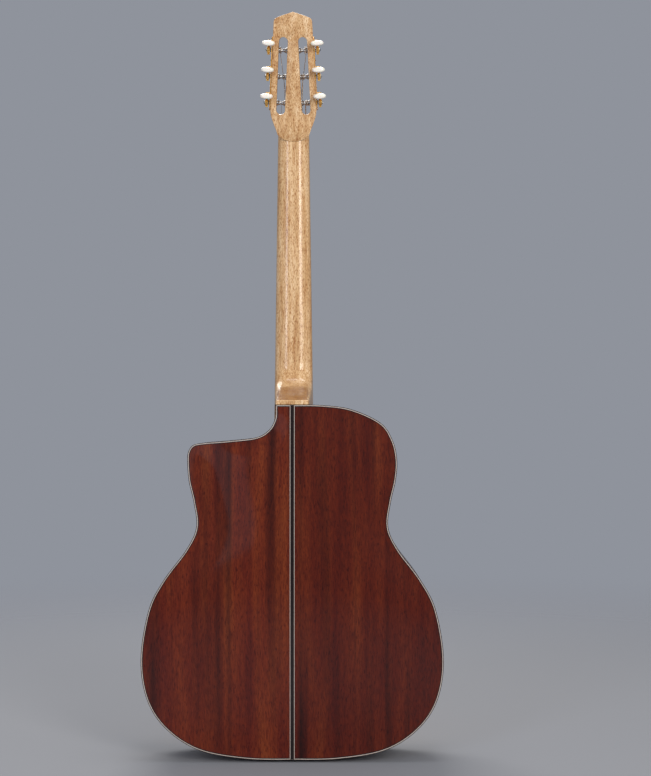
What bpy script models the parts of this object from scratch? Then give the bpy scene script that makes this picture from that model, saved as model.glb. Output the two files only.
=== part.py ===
"""Gypsy jazz guitar with an oval soundhole, a cutaway body and a slotted head.

Metres, +Z up along the neck. The soundboard faces -Y, the back faces +Y and the
treble side with the cutaway is at +X. Inside the empty guitarFrame, Z is counted
from the tail edge and Y from the plane of the soundboard's rim.
"""
import bpy
import bmesh
from math import acos, atan2, cos, pi, radians, sin, tan
from mathutils import Matrix, Vector

# Overall sizes
bodyLength = 0.470
bodyDepth = 0.098
scaleLength = 0.670
lowerBoutHalf = 0.2005
upperBoutHalf = 0.1388
waistHalf = 0.127
fretsToBody = 14
fretCount = 21
gap = 0.0003

# Plates, sides and linings
topThickness = 0.0026
backThickness = 0.0026
sideThickness = 0.0026
topDome = 0.006
backDome = 0.005
bindingWidth = 0.0014
bindingHeight = 0.0055
liningWidth = 0.006
liningHeight = 0.014
stripWidth = 0.0062
soundholeLength = 0.108
soundholeWidth = 0.080
soundholeZ = 0.305

cornerX = 0.022
cornerStraight = 0.011
plateColumns = 3
outlineCount = 33
turnWeight = 0.045

# Blocks and braces
tailBlockHalf = 0.034
tailBlockTop = 0.026
neckBlockLow = 0.408
neckBlockBass = -0.036
blockStep = 0.004
blockClear = 0.0006
braceWidth = 0.008
braceHeight = 0.013
braceClearance = 0.0005
braceEndShare = 0.45
topBraces = (("upper_brace", 0.385), ("soundhole_brace", 0.236))
backBraces = (("back_brace_upper", 0.380), ("back_brace_waist", 0.285), ("back_brace_lower", 0.150))
frameBarX = 0.042
frameBelowSaddle = 0.062
frameAboveSaddle = 0.030

# Neck, in its own frame at the body joint
neckAngle = radians(1.75)
fretboardRise = 0.0115
fretboardThickness = 0.006
nutWidth = 0.043
jointWidth = 0.0535
fretboardEndWidth = 0.0575
neckDepthAtNut = 0.0215
neckDepthAtHeel = 0.0235
heelEndWidth = 0.046
heelEndLength = 0.0075
heelReach = 0.050
fretboardEnd = -0.104
nutLength = 0.0042
fretHeight = 0.0010
fretWidth = 0.0022
fretInset = 0.0006
fretSunk = 0.001
headRoot = 0.008
tongueInset = 0.0005
barHalf = 0.004
barLow = 0.012
barHigh = 0.350

# Head, in its own frame at the nut
headTilt = radians(13.25)
headLength = 0.163
headThickness = 0.015
veneerThickness = 0.0025
headWidestHalf = 0.0315
headWidestAt = 0.036
headTipHalf = 0.0260
headCornerAt = 0.150
headDrop = 0.0037
headPastNut = 0.0006
slotWidth = 0.012
slotLow = 0.027
slotHigh = 0.130
slotInnerFromEdge = 0.0202
slotSideStep = 0.0005
chinDepth = 0.0090
chinRise = 0.0036

# Tuning machines
rollerSpacing = 0.035
middleRollerAt = 0.078
gearTeeth = 14
gearModule = 0.00085
wormPitchRadius = 0.00305
gearWidth = 0.0034
rollerRadius = 0.0036
# The rollers lie deeper in a wider slot, so that the strings clear its walls
rollerDepthShare = 0.525
rollerInHead = rollerDepthShare * slotWidth
pinInner = -0.0262
wormOut = 0.0054
toothRise = 0.00055
toothFall = 0.00085
shaftRadius = 0.0030
wormShaftRadius = 0.0017
plateThickness = 0.0012
buttonLength = 0.015
buttonWide = 0.0170
buttonThick = 0.0078
buttonStart = 0.0100

# Bridge, tailpiece and strings
bridgeHeight = 0.0190
bridgeLength = 0.110
bridgeFoot = 0.0125
moustacheLength = 0.055
tailpieceLength = 0.105
tailPlate = 0.0015
tailClear = 0.0006
stringBarHeight = 0.0058
stringBarLength = 0.0070
insertThickness = 0.0022
stringSpreadNut = 0.0355
stringSpreadBridge = 0.0590
stringSpreadTail = 0.0480
stringRadii = (0.00066, 0.00053, 0.00042, 0.00036, 0.00030, 0.00025)
stringRise = 0.0013
windingTurns = 1.75
windingGap = 0.0006
loopPoints = 24

# What holds the guitar up: a yoke under the head's shoulders
yokeAboveNut = 0.006
yokeY = 0.010

slotFromEdge = slotInnerFromEdge - slotWidth / 2
gearRadius = gearModule * gearTeeth / 2
wormOffset = gearRadius + wormPitchRadius
nutZ = bodyLength + scaleLength * (1 - 0.5 ** (fretsToBody / 12))
saddleZ = nutZ - scaleLength
neckLength = scaleLength * (1 - 0.5 ** (fretsToBody / 12)) / cos(neckAngle)


def clearScene():
    for obj in list(bpy.data.objects):
        bpy.data.objects.remove(obj, do_unlink=True)


def linearChannel(value):
    return value / 12.92 if value <= 0.04045 else ((value + 0.055) / 1.055) ** 2.4


def makeMaterial(name, hexColour, roughness, metallic=0.0):
    material = bpy.data.materials.new(name)
    material.use_nodes = True
    shader = material.node_tree.nodes["Principled BSDF"]
    channels = [int(hexColour[i : i + 2], 16) / 255 for i in (0, 2, 4)]
    shader.inputs["Base Color"].default_value = (*map(linearChannel, channels), 1)
    shader.inputs["Roughness"].default_value = roughness
    shader.inputs["Metallic"].default_value = metallic
    return material


def addEmpty(name, parent=None, location=(0, 0, 0), rotation=(0, 0, 0)):
    empty = bpy.data.objects.new(name, None)
    empty.empty_display_size = 0.02
    bpy.context.collection.objects.link(empty)
    empty.parent = parent
    empty.location = location
    empty.rotation_euler = rotation
    return empty


def addMesh(name, points, faces, material, parent, location=(0, 0, 0), rotation=(0, 0, 0), smooth=None):
    """A mesh object whose faces are turned to point out."""
    data = bpy.data.meshes.new(name)
    data.from_pydata([tuple(p) for p in points], [], faces)
    work = bmesh.new()
    work.from_mesh(data)
    bmesh.ops.recalc_face_normals(work, faces=work.faces)
    work.to_mesh(data)
    work.free()
    obj = bpy.data.objects.new(name, data)
    bpy.context.collection.objects.link(obj)
    if material:
        data.materials.append(material)
    obj.parent = parent
    obj.location = location
    obj.rotation_euler = rotation
    if smooth is not None:
        data.shade_smooth()
        data.set_sharp_from_angle(angle=radians(smooth))
    return obj


def combine(obj, other, operation):
    """Joins a hidden helper to a piece, or cuts it away."""
    modifier = obj.modifiers.new(other.name, "BOOLEAN")
    modifier.operation = operation
    modifier.solver = "EXACT"
    modifier.object = other
    other.hide_render = True
    other.display_type = "WIRE"
    return obj


def prismMesh(outline, low, high, axis):
    """Points and faces of an outline of (a, b) pairs drawn out along an axis."""
    order = {
        "X": lambda a, b, c: (c, a, b),
        "Y": lambda a, b, c: (a, c, b),
        "Z": lambda a, b, c: (a, b, c),
    }[axis]
    count = len(outline)
    points = [order(a, b, c) for c in (low, high) for a, b in outline]
    faces = [list(range(count)), list(range(count, 2 * count))]
    faces += [[i, (i + 1) % count, count + (i + 1) % count, count + i] for i in range(count)]
    return points, faces


def addPrism(name, outline, low, high, axis, material, parent, **place):
    points, faces = prismMesh(outline, low, high, axis)
    return addMesh(name, points, faces, material, parent, **place)


def addBox(name, low, high, material, parent, **place):
    outline = [(low[0], low[1]), (high[0], low[1]), (high[0], high[1]), (low[0], high[1])]
    return addPrism(name, outline, low[2], high[2], "Z", material, parent, **place)


def addLoft(name, rings, material, parent, **place):
    """A skin over rings of equal point count, with flat ends."""
    count = len(rings[0])
    points = [p for ring in rings for p in ring]
    faces = [list(range(count)), list(range(len(points) - count, len(points)))]
    for row in range(len(rings) - 1):
        for i in range(count):
            a, b = row * count + i, row * count + (i + 1) % count
            faces.append([a, b, b + count, a + count])
    return addMesh(name, points, faces, material, parent, **place)


def turnedRings(profile, sides, axis):
    """Rings of a turned piece from (place along the axis, radius) pairs."""
    rings = []
    for along, radius in profile:
        ring = []
        for i in range(sides):
            a, b = radius * cos(2 * pi * i / sides), radius * sin(2 * pi * i / sides)
            ring.append({"X": (along, a, b), "Y": (a, along, b), "Z": (a, b, along)}[axis])
        rings.append(ring)
    return rings


def addTurned(name, profile, sides, axis, material, parent, smooth=40, **place):
    return addLoft(name, turnedRings(profile, sides, axis), material, parent, smooth=smooth, **place)


def smoothPath(knots, count):
    """Points on a Catmull-Rom curve through the knots, closer where it turns."""
    ends = [knots[0]] + list(knots) + [knots[-1]]
    fine = []
    for i in range(len(knots) - 1):
        p0, p1, p2, p3 = (Vector(ends[i + k]) for k in range(4))
        for step in range(24):
            t = step / 24
            fine.append(
                0.5
                * (
                    2 * p1
                    + (p2 - p0) * t
                    + (2 * p0 - 5 * p1 + 4 * p2 - p3) * t**2
                    + (3 * p1 - p0 - 3 * p2 + p3) * t**3
                )
            )
    fine.append(Vector(knots[-1]))
    lengths = [0.0]
    for i, (a, b) in enumerate(zip(fine, fine[1:])):
        before = fine[max(i - 1, 0)]
        turn = (a - before).angle(b - a, 0.0)
        lengths.append(lengths[-1] + (b - a).length + turnWeight * turn)
    path, at = [], 0
    for i in range(count):
        want = lengths[-1] * i / (count - 1)
        while at < len(fine) - 2 and lengths[at + 1] < want:
            at += 1
        span = max(lengths[at + 1] - lengths[at], 1e-9)
        path.append(fine[at].lerp(fine[at + 1], (want - lengths[at]) / span))
    return path


# The body's outline as half widths and heights, from the tail centre to the heel
lower, upper, waist = lowerBoutHalf, upperBoutHalf, waistHalf
bassKnots = [
    (0.0, 0.0), (0.060, 0.0012), (lower * 0.61, 0.0125), (lower * 0.828, 0.040), (lower * 0.958, 0.079),
    (lower, 0.1335), (lower * 0.948, 0.198), (lower * 0.848, 0.238), (lower * 0.700, 0.278), (waist, 0.308),
    (waist + 0.0035, 0.341), (upper - 0.0018, 0.370), (upper, 0.397), (upper - 0.006, 0.423),
    (upper - 0.022, 0.446),
    (upper - 0.061, 0.464), (upper - 0.100, bodyLength - 0.0005), (0.0, bodyLength),
]
trebleKnots = bassKnots[:13] + [
    (upper - 0.0015, 0.4085), (upper - 0.0075, 0.4165), (upper - 0.020, 0.4195), (upper - 0.056, 0.4225),
    (0.047, 0.4270), (0.0305, 0.4370), (cornerX + 0.0012, 0.4500), (cornerX, bodyLength - cornerStraight),
]


def outlinePath(side, count):
    """Points along one half of the outline as (x, z), with inward normals."""
    if side > 0:
        path = smoothPath(trebleKnots, count)
    else:
        path = smoothPath(bassKnots, count)
    normals = []
    for i, point in enumerate(path):
        ahead = path[min(i + 1, len(path) - 1)] - path[max(i - 1, 0)]
        if i == 0:
            ahead = Vector((1, 0))
        if side < 0 and i == len(path) - 1:
            ahead = Vector((-1, 0))
        if side > 0 and i == len(path) - 1:
            ahead = Vector((0, 1))
        normals.append(Vector((-ahead.y, ahead.x)).normalized())
    return [(Vector((side * p.x, p.y)), Vector((side * n.x, n.y))) for p, n in zip(path, normals)]


def insetPoint(place, inset):
    point, normal = place
    return point + normal * inset


def rimRings(path, section):
    """One ring of (inset, y) section points at each place of the path."""
    rings = []
    for place in path:
        rings.append([(insetPoint(place, i).x, y, insetPoint(place, i).y) for i, y in section])
    return rings


def topY(x, z):
    """The soundboard's outer surface, arched toward -Y inside its rim."""
    return -topDome * domeShare(x, z)


def backY(x, z):
    """The back's outer surface, arched toward +Y inside its rim."""
    return bodyDepth + backDome * domeShare(x, z)


def halfWidthAt(z, side):
    knots = trebleKnots if side > 0 else bassKnots
    z = min(max(z, 0.0), bodyLength)
    best = cornerX if side > 0 else 0.0
    for (x0, z0), (x1, z1) in zip(knots, knots[1:]):
        if z0 <= z <= z1 and z1 > z0:
            best = max(best, x0 + (x1 - x0) * (z - z0) / (z1 - z0))
    return best


def domeShare(x, z):
    """0 at the rim and 1 over the middle of the lower bout."""
    half = max(halfWidthAt(z, x), 1e-4)
    across = max(0.0, 1 - (abs(x) / half) ** 2)
    along = max(0.0, sin(pi * min(max(z / bodyLength, 0), 1))) ** 0.6
    return across * along


treblePath = outlinePath(1, outlineCount)
bassPath = outlinePath(-1, outlineCount + 2)
cornerPlace = (Vector((cornerX, bodyLength)), Vector((-1, -1)))
ringPath = treblePath + [cornerPlace] + bassPath[:0:-1]


def addRing(name, section, material, parent, smooth=30):
    """A closed strip that follows the whole outline."""
    rings = rimRings(ringPath, section)
    count = len(section)
    points = [p for ring in rings for p in ring]
    faces = []
    for row in range(len(rings)):
        after = (row + 1) % len(rings)
        for i in range(count):
            j = (i + 1) % count
            faces.append([row * count + i, row * count + j, after * count + j, after * count + i])
    return addMesh(name, points, faces, material, parent, smooth=smooth)


def plateRows(side, inset):
    """The outer end of each row of a half plate, from the tail to the heel."""
    if side > 0:
        return [insetPoint(place, inset) for place in treblePath[1:] + [cornerPlace]]
    return [insetPoint(place, inset) for place in bassPath[1:-1]]


def addPlate(name, sides, seam, inset, outerY, inward, thickness, columns, material, parent):
    """A domed plate or half plate, gridded from its seam out to the rim."""
    lowZ = inset
    highZ = bodyLength - inset
    halves = [plateRows(side, inset) for side in sides]
    rows = []
    for i in range(len(halves[0])):
        seamZ = lowZ + (highZ - lowZ) * i / (len(halves[0]) - 1)
        row = []
        for side, ends in zip(sides, halves):
            inner = Vector((side * seam, seamZ))
            half = [inner.lerp(ends[i], c / columns) for c in range(columns + 1)]
            row = half if not row else half[:0:-1] + row
        rows.append(row)
    width = len(rows[0])
    layer = width * len(rows)
    points = []
    for shift in (0.0, inward * thickness):
        points += [(p.x, outerY(p.x, p.y) + shift, p.y) for row in rows for p in row]
    faces = []
    for i in range(len(rows) - 1):
        for c in range(width - 1):
            a = i * width + c
            faces.append([a, a + 1, a + 1 + width, a + width])
            faces.append([layer + a, layer + a + width, layer + a + 1 + width, layer + a + 1])
        for a in (i * width, i * width + width - 1):
            faces.append([a, a + width, layer + a + width, layer + a])
    for i in (0, len(rows) - 1):
        for c in range(width - 1):
            a = i * width + c
            faces.append([a, a + 1, layer + a + 1, layer + a])
    return addMesh(name, points, faces, material, parent, smooth=30)


def railHalf(z, side, inset):
    """Half width at a height of the outline moved inward."""
    ends = [insetPoint(place, inset) for place in (treblePath if side > 0 else bassPath)]
    found = 0.0
    for p, q in zip(ends, ends[1:]):
        if min(p.y, q.y) <= z <= max(p.y, q.y) and p.y != q.y:
            found = max(found, abs(p.x + (q.x - p.x) * (z - p.y) / (q.y - p.y)))
    return found


def halfInside(z, side):
    """Half width between the linings that a bar's whole width fits at a height."""
    heights = [z + step * braceWidth / 8 for step in range(-5, 6)]
    return min(railHalf(h, side, liningEnd) for h in heights) - braceClearance


def addBrace(name, ends, width, height, surface, thickness, inward, material, parent, steps=8):
    """A bar glued under an arched plate, low at both ends. Ends are (x, z) pairs."""
    start, finish = Vector(ends[0]), Vector(ends[1])
    along = (finish - start).normalized()
    across = Vector((-along.y, along.x)) * width / 2
    rings = []
    for i in range(steps + 1):
        at = start.lerp(finish, i / steps)
        share = min(1.0, 4 * min(i, steps - i) / steps)
        tall = height * (braceEndShare + (1 - braceEndShare) * share)
        corners = [at + across, at - across]
        # The bar is flat across, so it hangs from the lower of the plate's edges over it
        foot = [surface(p.x, p.y) + inward * (thickness + gap) for p in corners + [at]]
        base = max(foot) if inward > 0 else min(foot)
        rings.append(
            [
                (corners[0].x, base, corners[0].y),
                (corners[1].x, base, corners[1].y),
                (corners[1].x, base + inward * tall, corners[1].y),
                (corners[0].x, base + inward * tall, corners[0].y),
            ]
        )
    return addLoft(name, rings, material, parent)


clearScene()
spruce = makeMaterial("spruce", "D9B27A", 0.35)
sapele = makeMaterial("sapele", "5E2A1C", 0.18)
liningWood = makeMaterial("liningWood", "C9A878", 0.6)
neckWood = makeMaterial("neckWood", "CFA678", 0.4)
ebony = makeMaterial("ebony", "1E1716", 0.4)
rosewood = makeMaterial("rosewood", "3A1F18", 0.35)
bindingBlack = makeMaterial("bindingBlack", "1A1210", 0.3)
bone = makeMaterial("bone", "EDE6D2", 0.35)
brass = makeMaterial("brass", "C59B4A", 0.28, 1.0)
steel = makeMaterial("steel", "B9BBBE", 0.3, 1.0)
bronze = makeMaterial("bronze", "C79A66", 0.32, 1.0)
pearloid = makeMaterial("pearloid", "E8E2D4", 0.3)
aluminium = makeMaterial("aluminium", "C6C8CB", 0.4, 1.0)

yokeZ = nutZ + yokeAboveNut
root = addEmpty("guitarFrame", location=(0, -yokeY, -yokeZ))

# Rim
wallStart = bindingWidth + gap
wallFront = topThickness + gap
wallBack = bodyDepth - backThickness - gap
frontStep = bindingHeight + gap
backStep = bodyDepth - bindingHeight - gap
wallSection = [
    (0, frontStep), (0, backStep), (wallStart, backStep), (wallStart, wallBack),
    (sideThickness, wallBack), (sideThickness, wallFront), (wallStart, wallFront), (wallStart, frontStep),
]
trebleWall = [(Vector((gap / 2, 0)), Vector((0, 1)))] + treblePath[1:]
trebleWall += [(Vector((cornerX, bodyLength - 1.5 * gap)), Vector((-1, -1)))]
bassWall = [(Vector((-gap / 2, 0)), Vector((0, 1)))] + bassPath[1:]
bassWall += [cornerPlace]
addLoft("side_treble", rimRings(trebleWall, wallSection), sapele, root, smooth=30)
addLoft("side_bass", rimRings(bassWall, wallSection), sapele, root, smooth=30)
edgeSection = [(0, 0), (bindingWidth, 0), (bindingWidth, bindingHeight), (0, bindingHeight)]
addRing("top_binding", edgeSection, bindingBlack, root)
addRing("back_binding", [(i, bodyDepth - y) for i, y in edgeSection], bindingBlack, root)
liningStart = sideThickness + gap
liningEnd = liningStart + liningWidth
liningFront = wallFront
liningSection = [
    (liningStart, liningFront), (liningEnd, liningFront),
    (liningEnd, liningFront + 0.3 * liningHeight), (liningStart, liningFront + liningHeight),
]
addRing("top_lining", liningSection, liningWood, root)
addRing("back_lining", [(i, bodyDepth - y) for i, y in liningSection], liningWood, root)

# Plates
plateInset = bindingWidth + gap
soundboard = addPlate(
    "soundboard", (1, -1), 0.0, plateInset, topY, 1, topThickness, plateColumns, spruce, root
)
holeOutline = [
    (soundholeWidth / 2 * cos(2 * pi * i / 28), soundholeZ + soundholeLength / 2 * sin(2 * pi * i / 28))
    for i in range(28)
]
holeCutter = addPrism("soundholeCutter", holeOutline, -0.03, 0.03, "Y", None, root)
combine(soundboard, holeCutter, "DIFFERENCE")
seam = stripWidth / 2 + gap
for side, name in ((-1, "back_half_bass"), (1, "back_half_treble")):
    addPlate(name, (side,), seam, plateInset, backY, -1, backThickness, plateColumns, sapele, root)
stripRings = []
for i in range(25):
    z = plateInset + (bodyLength - 2 * plateInset) * i / 24
    y = backY(0, z)
    half = stripWidth / 2
    under = y - backThickness
    stripRings.append([(-half, y, z), (half, y, z), (half, under, z), (-half, under, z)])
addLoft("back_centre_strip", stripRings, ebony, root)

# Blocks, notched so that the linings pass behind them
blockFront = topThickness + 2 * gap
blockBack = bodyDepth - backThickness - 2 * gap
liningInner = liningFront + liningHeight + gap
tailBlock = addBox(
    "tail_block",
    (-tailBlockHalf, blockFront, liningEnd + blockClear + gap),
    (tailBlockHalf, blockBack, tailBlockTop),
    liningWood,
    root,
)
tailFoot = addBox(
    "tailBlockFoot",
    (-tailBlockHalf, liningInner, sideThickness + blockClear + gap),
    (tailBlockHalf, bodyDepth - liningInner, tailBlockTop - blockStep),
    None,
    root,
)
combine(tailBlock, tailFoot, "UNION")
neckBlockTreble = cornerX - liningEnd - blockClear
neckBlock = addBox(
    "neck_block",
    (neckBlockBass, blockFront, neckBlockLow),
    (neckBlockTreble, blockBack, bodyLength - liningEnd - blockClear),
    liningWood,
    root,
)
neckBlockFoot = addBox(
    "neckBlockFoot",
    (neckBlockBass, liningInner, neckBlockLow + blockStep),
    (cornerX - sideThickness - 2 * gap, bodyDepth - liningInner, bodyLength - sideThickness - blockClear),
    None,
    root,
)
combine(neckBlock, neckBlockFoot, "UNION")

# Braces
for name, z in topBraces:
    ends = ((-halfInside(z, -1), z), (halfInside(z, 1), z))
    addBrace(name, ends, braceWidth, braceHeight, topY, topThickness, 1, spruce, root)
frameLowZ = saddleZ - frameBelowSaddle
frameHighZ = saddleZ + frameAboveSaddle
frame = None
for label, z in (("bridge_brace_frame", frameHighZ), ("frameLowBrace", frameLowZ)):
    ends = ((-halfInside(z, -1), z), (halfInside(z, 1), z))
    piece = addBrace(label, ends, braceWidth, braceHeight, topY, topThickness, 1, spruce, root)
    if frame:
        combine(frame, piece, "UNION")
    else:
        frame = piece
for side, label in ((-1, "frameBarBass"), (1, "frameBarTreble")):
    ends = ((side * frameBarX, frameLowZ), (side * frameBarX, frameHighZ))
    bar = addBrace(
        label, ends, braceWidth * 0.8, braceHeight * 0.7, topY, topThickness, 1, None, root
    )
    combine(frame, bar, "UNION")
for name, z in backBraces:
    ends = ((-halfInside(z, -1), z), (halfInside(z, 1), z))
    addBrace(name, ends, braceWidth, braceHeight, backY, backThickness, -1, spruce, root)

# Neck, built in a frame that leans back from the body
neckFrame = addEmpty("neckFrame", root, (0, -fretboardRise, bodyLength), (-neckAngle, 0, 0))
neckTop = fretboardThickness + gap
heelDepth = (bodyDepth + fretboardRise) / cos(neckAngle)


def neckHalf(along):
    """Half width of the neck and fretboard, wider past the body joint."""
    if along >= 0:
        return (jointWidth + (nutWidth - jointWidth) * along / neckLength) / 2
    return (jointWidth + (fretboardEndWidth - jointWidth) * along / fretboardEnd) / 2


# Height along the neck, depth behind the fretboard's face and squareness of the heel's sections
heelSections = [
    (0.0, heelDepth, 7.0), (heelEndLength, heelDepth, 6.0), (heelEndLength + 0.002, heelDepth - 0.006, 4.6),
    (0.0135, 0.090, 3.8), (0.0180, 0.071, 3.2), (0.0235, 0.0525, 2.8), (0.0300, 0.0385, 2.5),
    (0.0380, 0.0292, 2.3), (heelReach, neckDepthAtHeel, 2.2),
]
shaftSteps = 5
neckSections = heelSections + [
    (
        heelReach + (neckLength - heelReach) * (i + 1) / shaftSteps,
        neckDepthAtHeel + (neckDepthAtNut - neckDepthAtHeel) * (i + 1) / shaftSteps,
        2.2,
    )
    for i in range(shaftSteps)
]
for past in (nutLength, nutLength + headRoot):
    neckSections.append((neckLength + past, neckDepthAtNut, 2.2))
sectionSteps = 12
# A section that is nearly square gets a flat end, as the heel's end has
heelFlat = 1.03
neckRings = []
for along, depth, square in neckSections:
    half = neckHalf(min(along, neckLength))
    heelShare = min(1.0, (depth - neckDepthAtHeel) / (heelDepth - neckDepthAtHeel))
    taper = max(0.0, 1 - heelEndWidth / (2 * half)) * heelShare
    lean = max(0.0, 1 - along / heelReach)
    ring = []
    for k in range(sectionSteps + 1):
        turn = pi * k / sectionSteps
        across = abs(cos(turn)) ** (2 / square) * (1 if cos(turn) >= 0 else -1)
        down = min(1.0, heelFlat * sin(turn) ** (2 / square)) if 0 < k < sectionSteps else 0.0
        top = neckTop + 0.6 * max(0.0, along - neckLength - nutLength)
        y = top + (depth - top) * down
        ring.append((half * across * (1 - taper * down), y, along + (gap + y * tan(neckAngle)) * lean))
    neckRings.append(ring)
neck = addLoft("neck", neckRings, neckWood, neckFrame, smooth=35)

# The tongue under the fretboard's end lies along the soundboard
tongueRings = []
tongueSteps = 6
for i in range(tongueSteps + 1):
    along = fretboardEnd + 0.002 + (0.012 - fretboardEnd - 0.002) * i / tongueSteps
    half = neckHalf(min(along, 0.0)) - tongueInset
    z = bodyLength + along * cos(neckAngle)
    floor = topY(0, z) - 2 * gap + fretboardRise - along * sin(neckAngle)
    tongueRings.append(
        [(-half, neckTop, along), (half, neckTop, along), (half, floor, along), (-half, floor, along)]
    )
tongue = addLoft("neckTongue", tongueRings, None, neckFrame)
combine(neck, tongue, "UNION")

# Head: an outline drawn through the wood, limited by a side profile that thickens at the chin
headStart = neckLength + nutLength + headPastNut
headFrame = addEmpty("headFrame", neckFrame, (0, headDrop, headStart), (-headTilt, 0, 0))
edgeSlope = (headWidestHalf - headTipHalf) / (headCornerAt - headWidestAt)
edgeAngle = atan2(headWidestHalf - headTipHalf, headCornerAt - headWidestAt)


def edgeHalf(v):
    return headWidestHalf - edgeSlope * (v - headWidestAt)


neckHalfAtNut = nutWidth / 2
shoulder = [
    (neckHalfAtNut + 0.0003, 0.0), (neckHalfAtNut + 0.0030, 0.0080), (neckHalfAtNut + 0.0062, 0.0160),
    (headWidestHalf - 0.0010, 0.0245), (headWidestHalf, 0.0310), (headWidestHalf, headWidestAt),
    (edgeHalf(0.080), 0.080), (headTipHalf, headCornerAt), (headTipHalf - 0.0010, headCornerAt + 0.0030),
    (headTipHalf - 0.0036, headCornerAt + 0.0055), (0.0125, headLength - 0.0040),
    (0.0050, headLength - 0.0016),
]
chin = [(neckHalfAtNut - 0.0045, -0.0042), (0.0095, -0.0078), (0.0, -chinDepth)]
headOutline = [(-x, v) for x, v in reversed(chin[:-1])] + [(-x, v) for x, v in shoulder]
headOutline = [(0.0, -chinDepth)] + headOutline + [(0.0, headLength)] + list(reversed(shoulder)) + chin[:-1]
headFront = veneerThickness + gap
headRear = headFront + headThickness
head = addPrism("headBlank", headOutline, 0.0, headRear + 0.02, "Y", None, headFrame)
profile = [
    (0.0072, -0.012), (headRear + chinRise, -0.012), (headRear + chinRise, 0.002), (headRear, 0.028),
    (headRear, headLength + 0.01), (headFront, headLength + 0.01), (headFront, 0.0003),
]
headProfile = addPrism("headProfile", profile, -0.05, 0.05, "X", None, headFrame)
combine(head, headProfile, "INTERSECT")


def slotPoints(side, grow=0.0):
    """A slot parallel to the head's edge, with round ends."""
    turn = Matrix.Rotation(side * edgeAngle, 2)
    half = slotWidth / 2 + grow
    reach = (slotHigh - slotLow) / 2 - slotWidth / 2
    outline = []
    for end in (1, -1):
        for k in range(7):
            a = pi * k / 6
            outline.append(Vector((half * cos(a) * end, end * reach + half * sin(a) * end)))
    middle = (slotHigh + slotLow) / 2
    centre = Vector((side * (edgeHalf(middle) - slotFromEdge / cos(edgeAngle)), middle))
    return [tuple(turn @ p + centre) for p in outline]


veneerOutline = [(-x, v) for x, v in shoulder] + [(0.0, headLength)] + list(reversed(shoulder))
veneerOutline = [(x, max(v, gap)) for x, v in veneerOutline]
veneer = addPrism("head_veneer", veneerOutline, 0.0, veneerThickness, "Y", ebony, headFrame)
rollerY = headFront + rollerInHead
for side, label in ((-1, "Bass"), (1, "Treble")):
    slot = addPrism("slotCutter" + label, slotPoints(side), -0.01, 0.04, "Y", None, headFrame)
    combine(head, slot, "DIFFERENCE")
    combine(veneer, slot, "DIFFERENCE")
    rampX = side * (edgeHalf(0.020) - slotFromEdge)
    ramp = addPrism(
        "rampCutter" + label,
        [(-0.001, 0.011), (-0.001, 0.034), (0.0087, 0.034)],
        rampX - slotWidth / 2 + slotSideStep,
        rampX + slotWidth / 2 - slotSideStep,
        "X",
        None,
        headFrame,
    )
    combine(head, ramp, "DIFFERENCE")
    combine(veneer, ramp, "DIFFERENCE")

# Tuning machines, in a frame on each edge of the head
tunerLine = {}
for side, label in ((-1, "Bass"), (1, "Treble")):
    lineMiddle = (side * edgeHalf(middleRollerAt), rollerY, middleRollerAt)
    tunerLine[side] = addEmpty("tunerLine" + label, headFrame, lineMiddle, (0, -side * edgeAngle, 0))
boreRadius = shaftRadius + gap
plateStart = gap
plateEnd = plateStart + plateThickness
for side, label in ((-1, "Bass"), (1, "Treble")):
    for i in (-1, 0, 1):
        bore = addTurned(
            "rollerBore%s%d" % (label, i + 1),
            [(side * (pinInner - gap), boreRadius), (side * 0.004, boreRadius)],
            10,
            "X",
            None,
            tunerLine[side],
            location=(0, 0, i * rollerSpacing),
        )
        combine(head, bore, "DIFFERENCE")
combine(neck, head, "UNION")

barTop = neckTop + gap
addBox(
    "reinforcing_bar",
    (-barHalf, barTop, barLow),
    (barHalf, barTop + 2 * barHalf, barHigh),
    aluminium,
    neckFrame,
)
barCutter = addBox(
    "barCutter",
    (-barHalf - gap, neckTop - 0.002, barLow - gap),
    (barHalf + gap, barTop + 2 * barHalf + gap, barHigh + gap),
    None,
    neckFrame,
)
combine(neck, barCutter, "DIFFERENCE")

# Fretboard with its frets, and the nut
boardEnds = [(fretboardEnd, neckHalf(fretboardEnd)), (0.0, neckHalf(0)), (neckLength, neckHalf(neckLength))]
boardOutline = [(-half, z) for z, half in boardEnds] + [(half, z) for z, half in reversed(boardEnds)]
fretboard = addPrism("fretboard", boardOutline, 0.0, fretboardThickness, "Y", ebony, neckFrame)
fretPoints, fretFaces = [], []
for n in range(1, fretCount + 1):
    z = neckLength - scaleLength * (1 - 0.5 ** (n / 12)) / cos(neckAngle)
    half = neckHalf(z) - fretInset
    section = []
    for end in (-1, 1):
        rows = [(fretSunk, end / 2), (-0.4 * fretHeight, end / 2), (-fretHeight, end / 5)]
        section += [(y, z + share * fretWidth) for y, share in (rows if end < 0 else reversed(rows))]
    points, faces = prismMesh(section, -half, half, "X")
    fretFaces += [[i + len(fretPoints) for i in face] for face in faces]
    fretPoints += points
frets = addMesh("fretRow", fretPoints, fretFaces, None, neckFrame)
combine(fretboard, frets, "UNION")
addBox(
    "nut",
    (-nutWidth / 2, -stringRise, neckLength + gap),
    (nutWidth / 2, neckTop - gap, neckLength + gap + nutLength),
    bone,
    neckFrame,
)

# One tuning machine
pitch = pi * gearModule
wormRoot = wormOffset - gearRadius - toothFall
wormTip = wormPitchRadius + toothRise
gearTip = gearRadius + toothRise
gearRoot = gearRadius - toothFall


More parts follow.
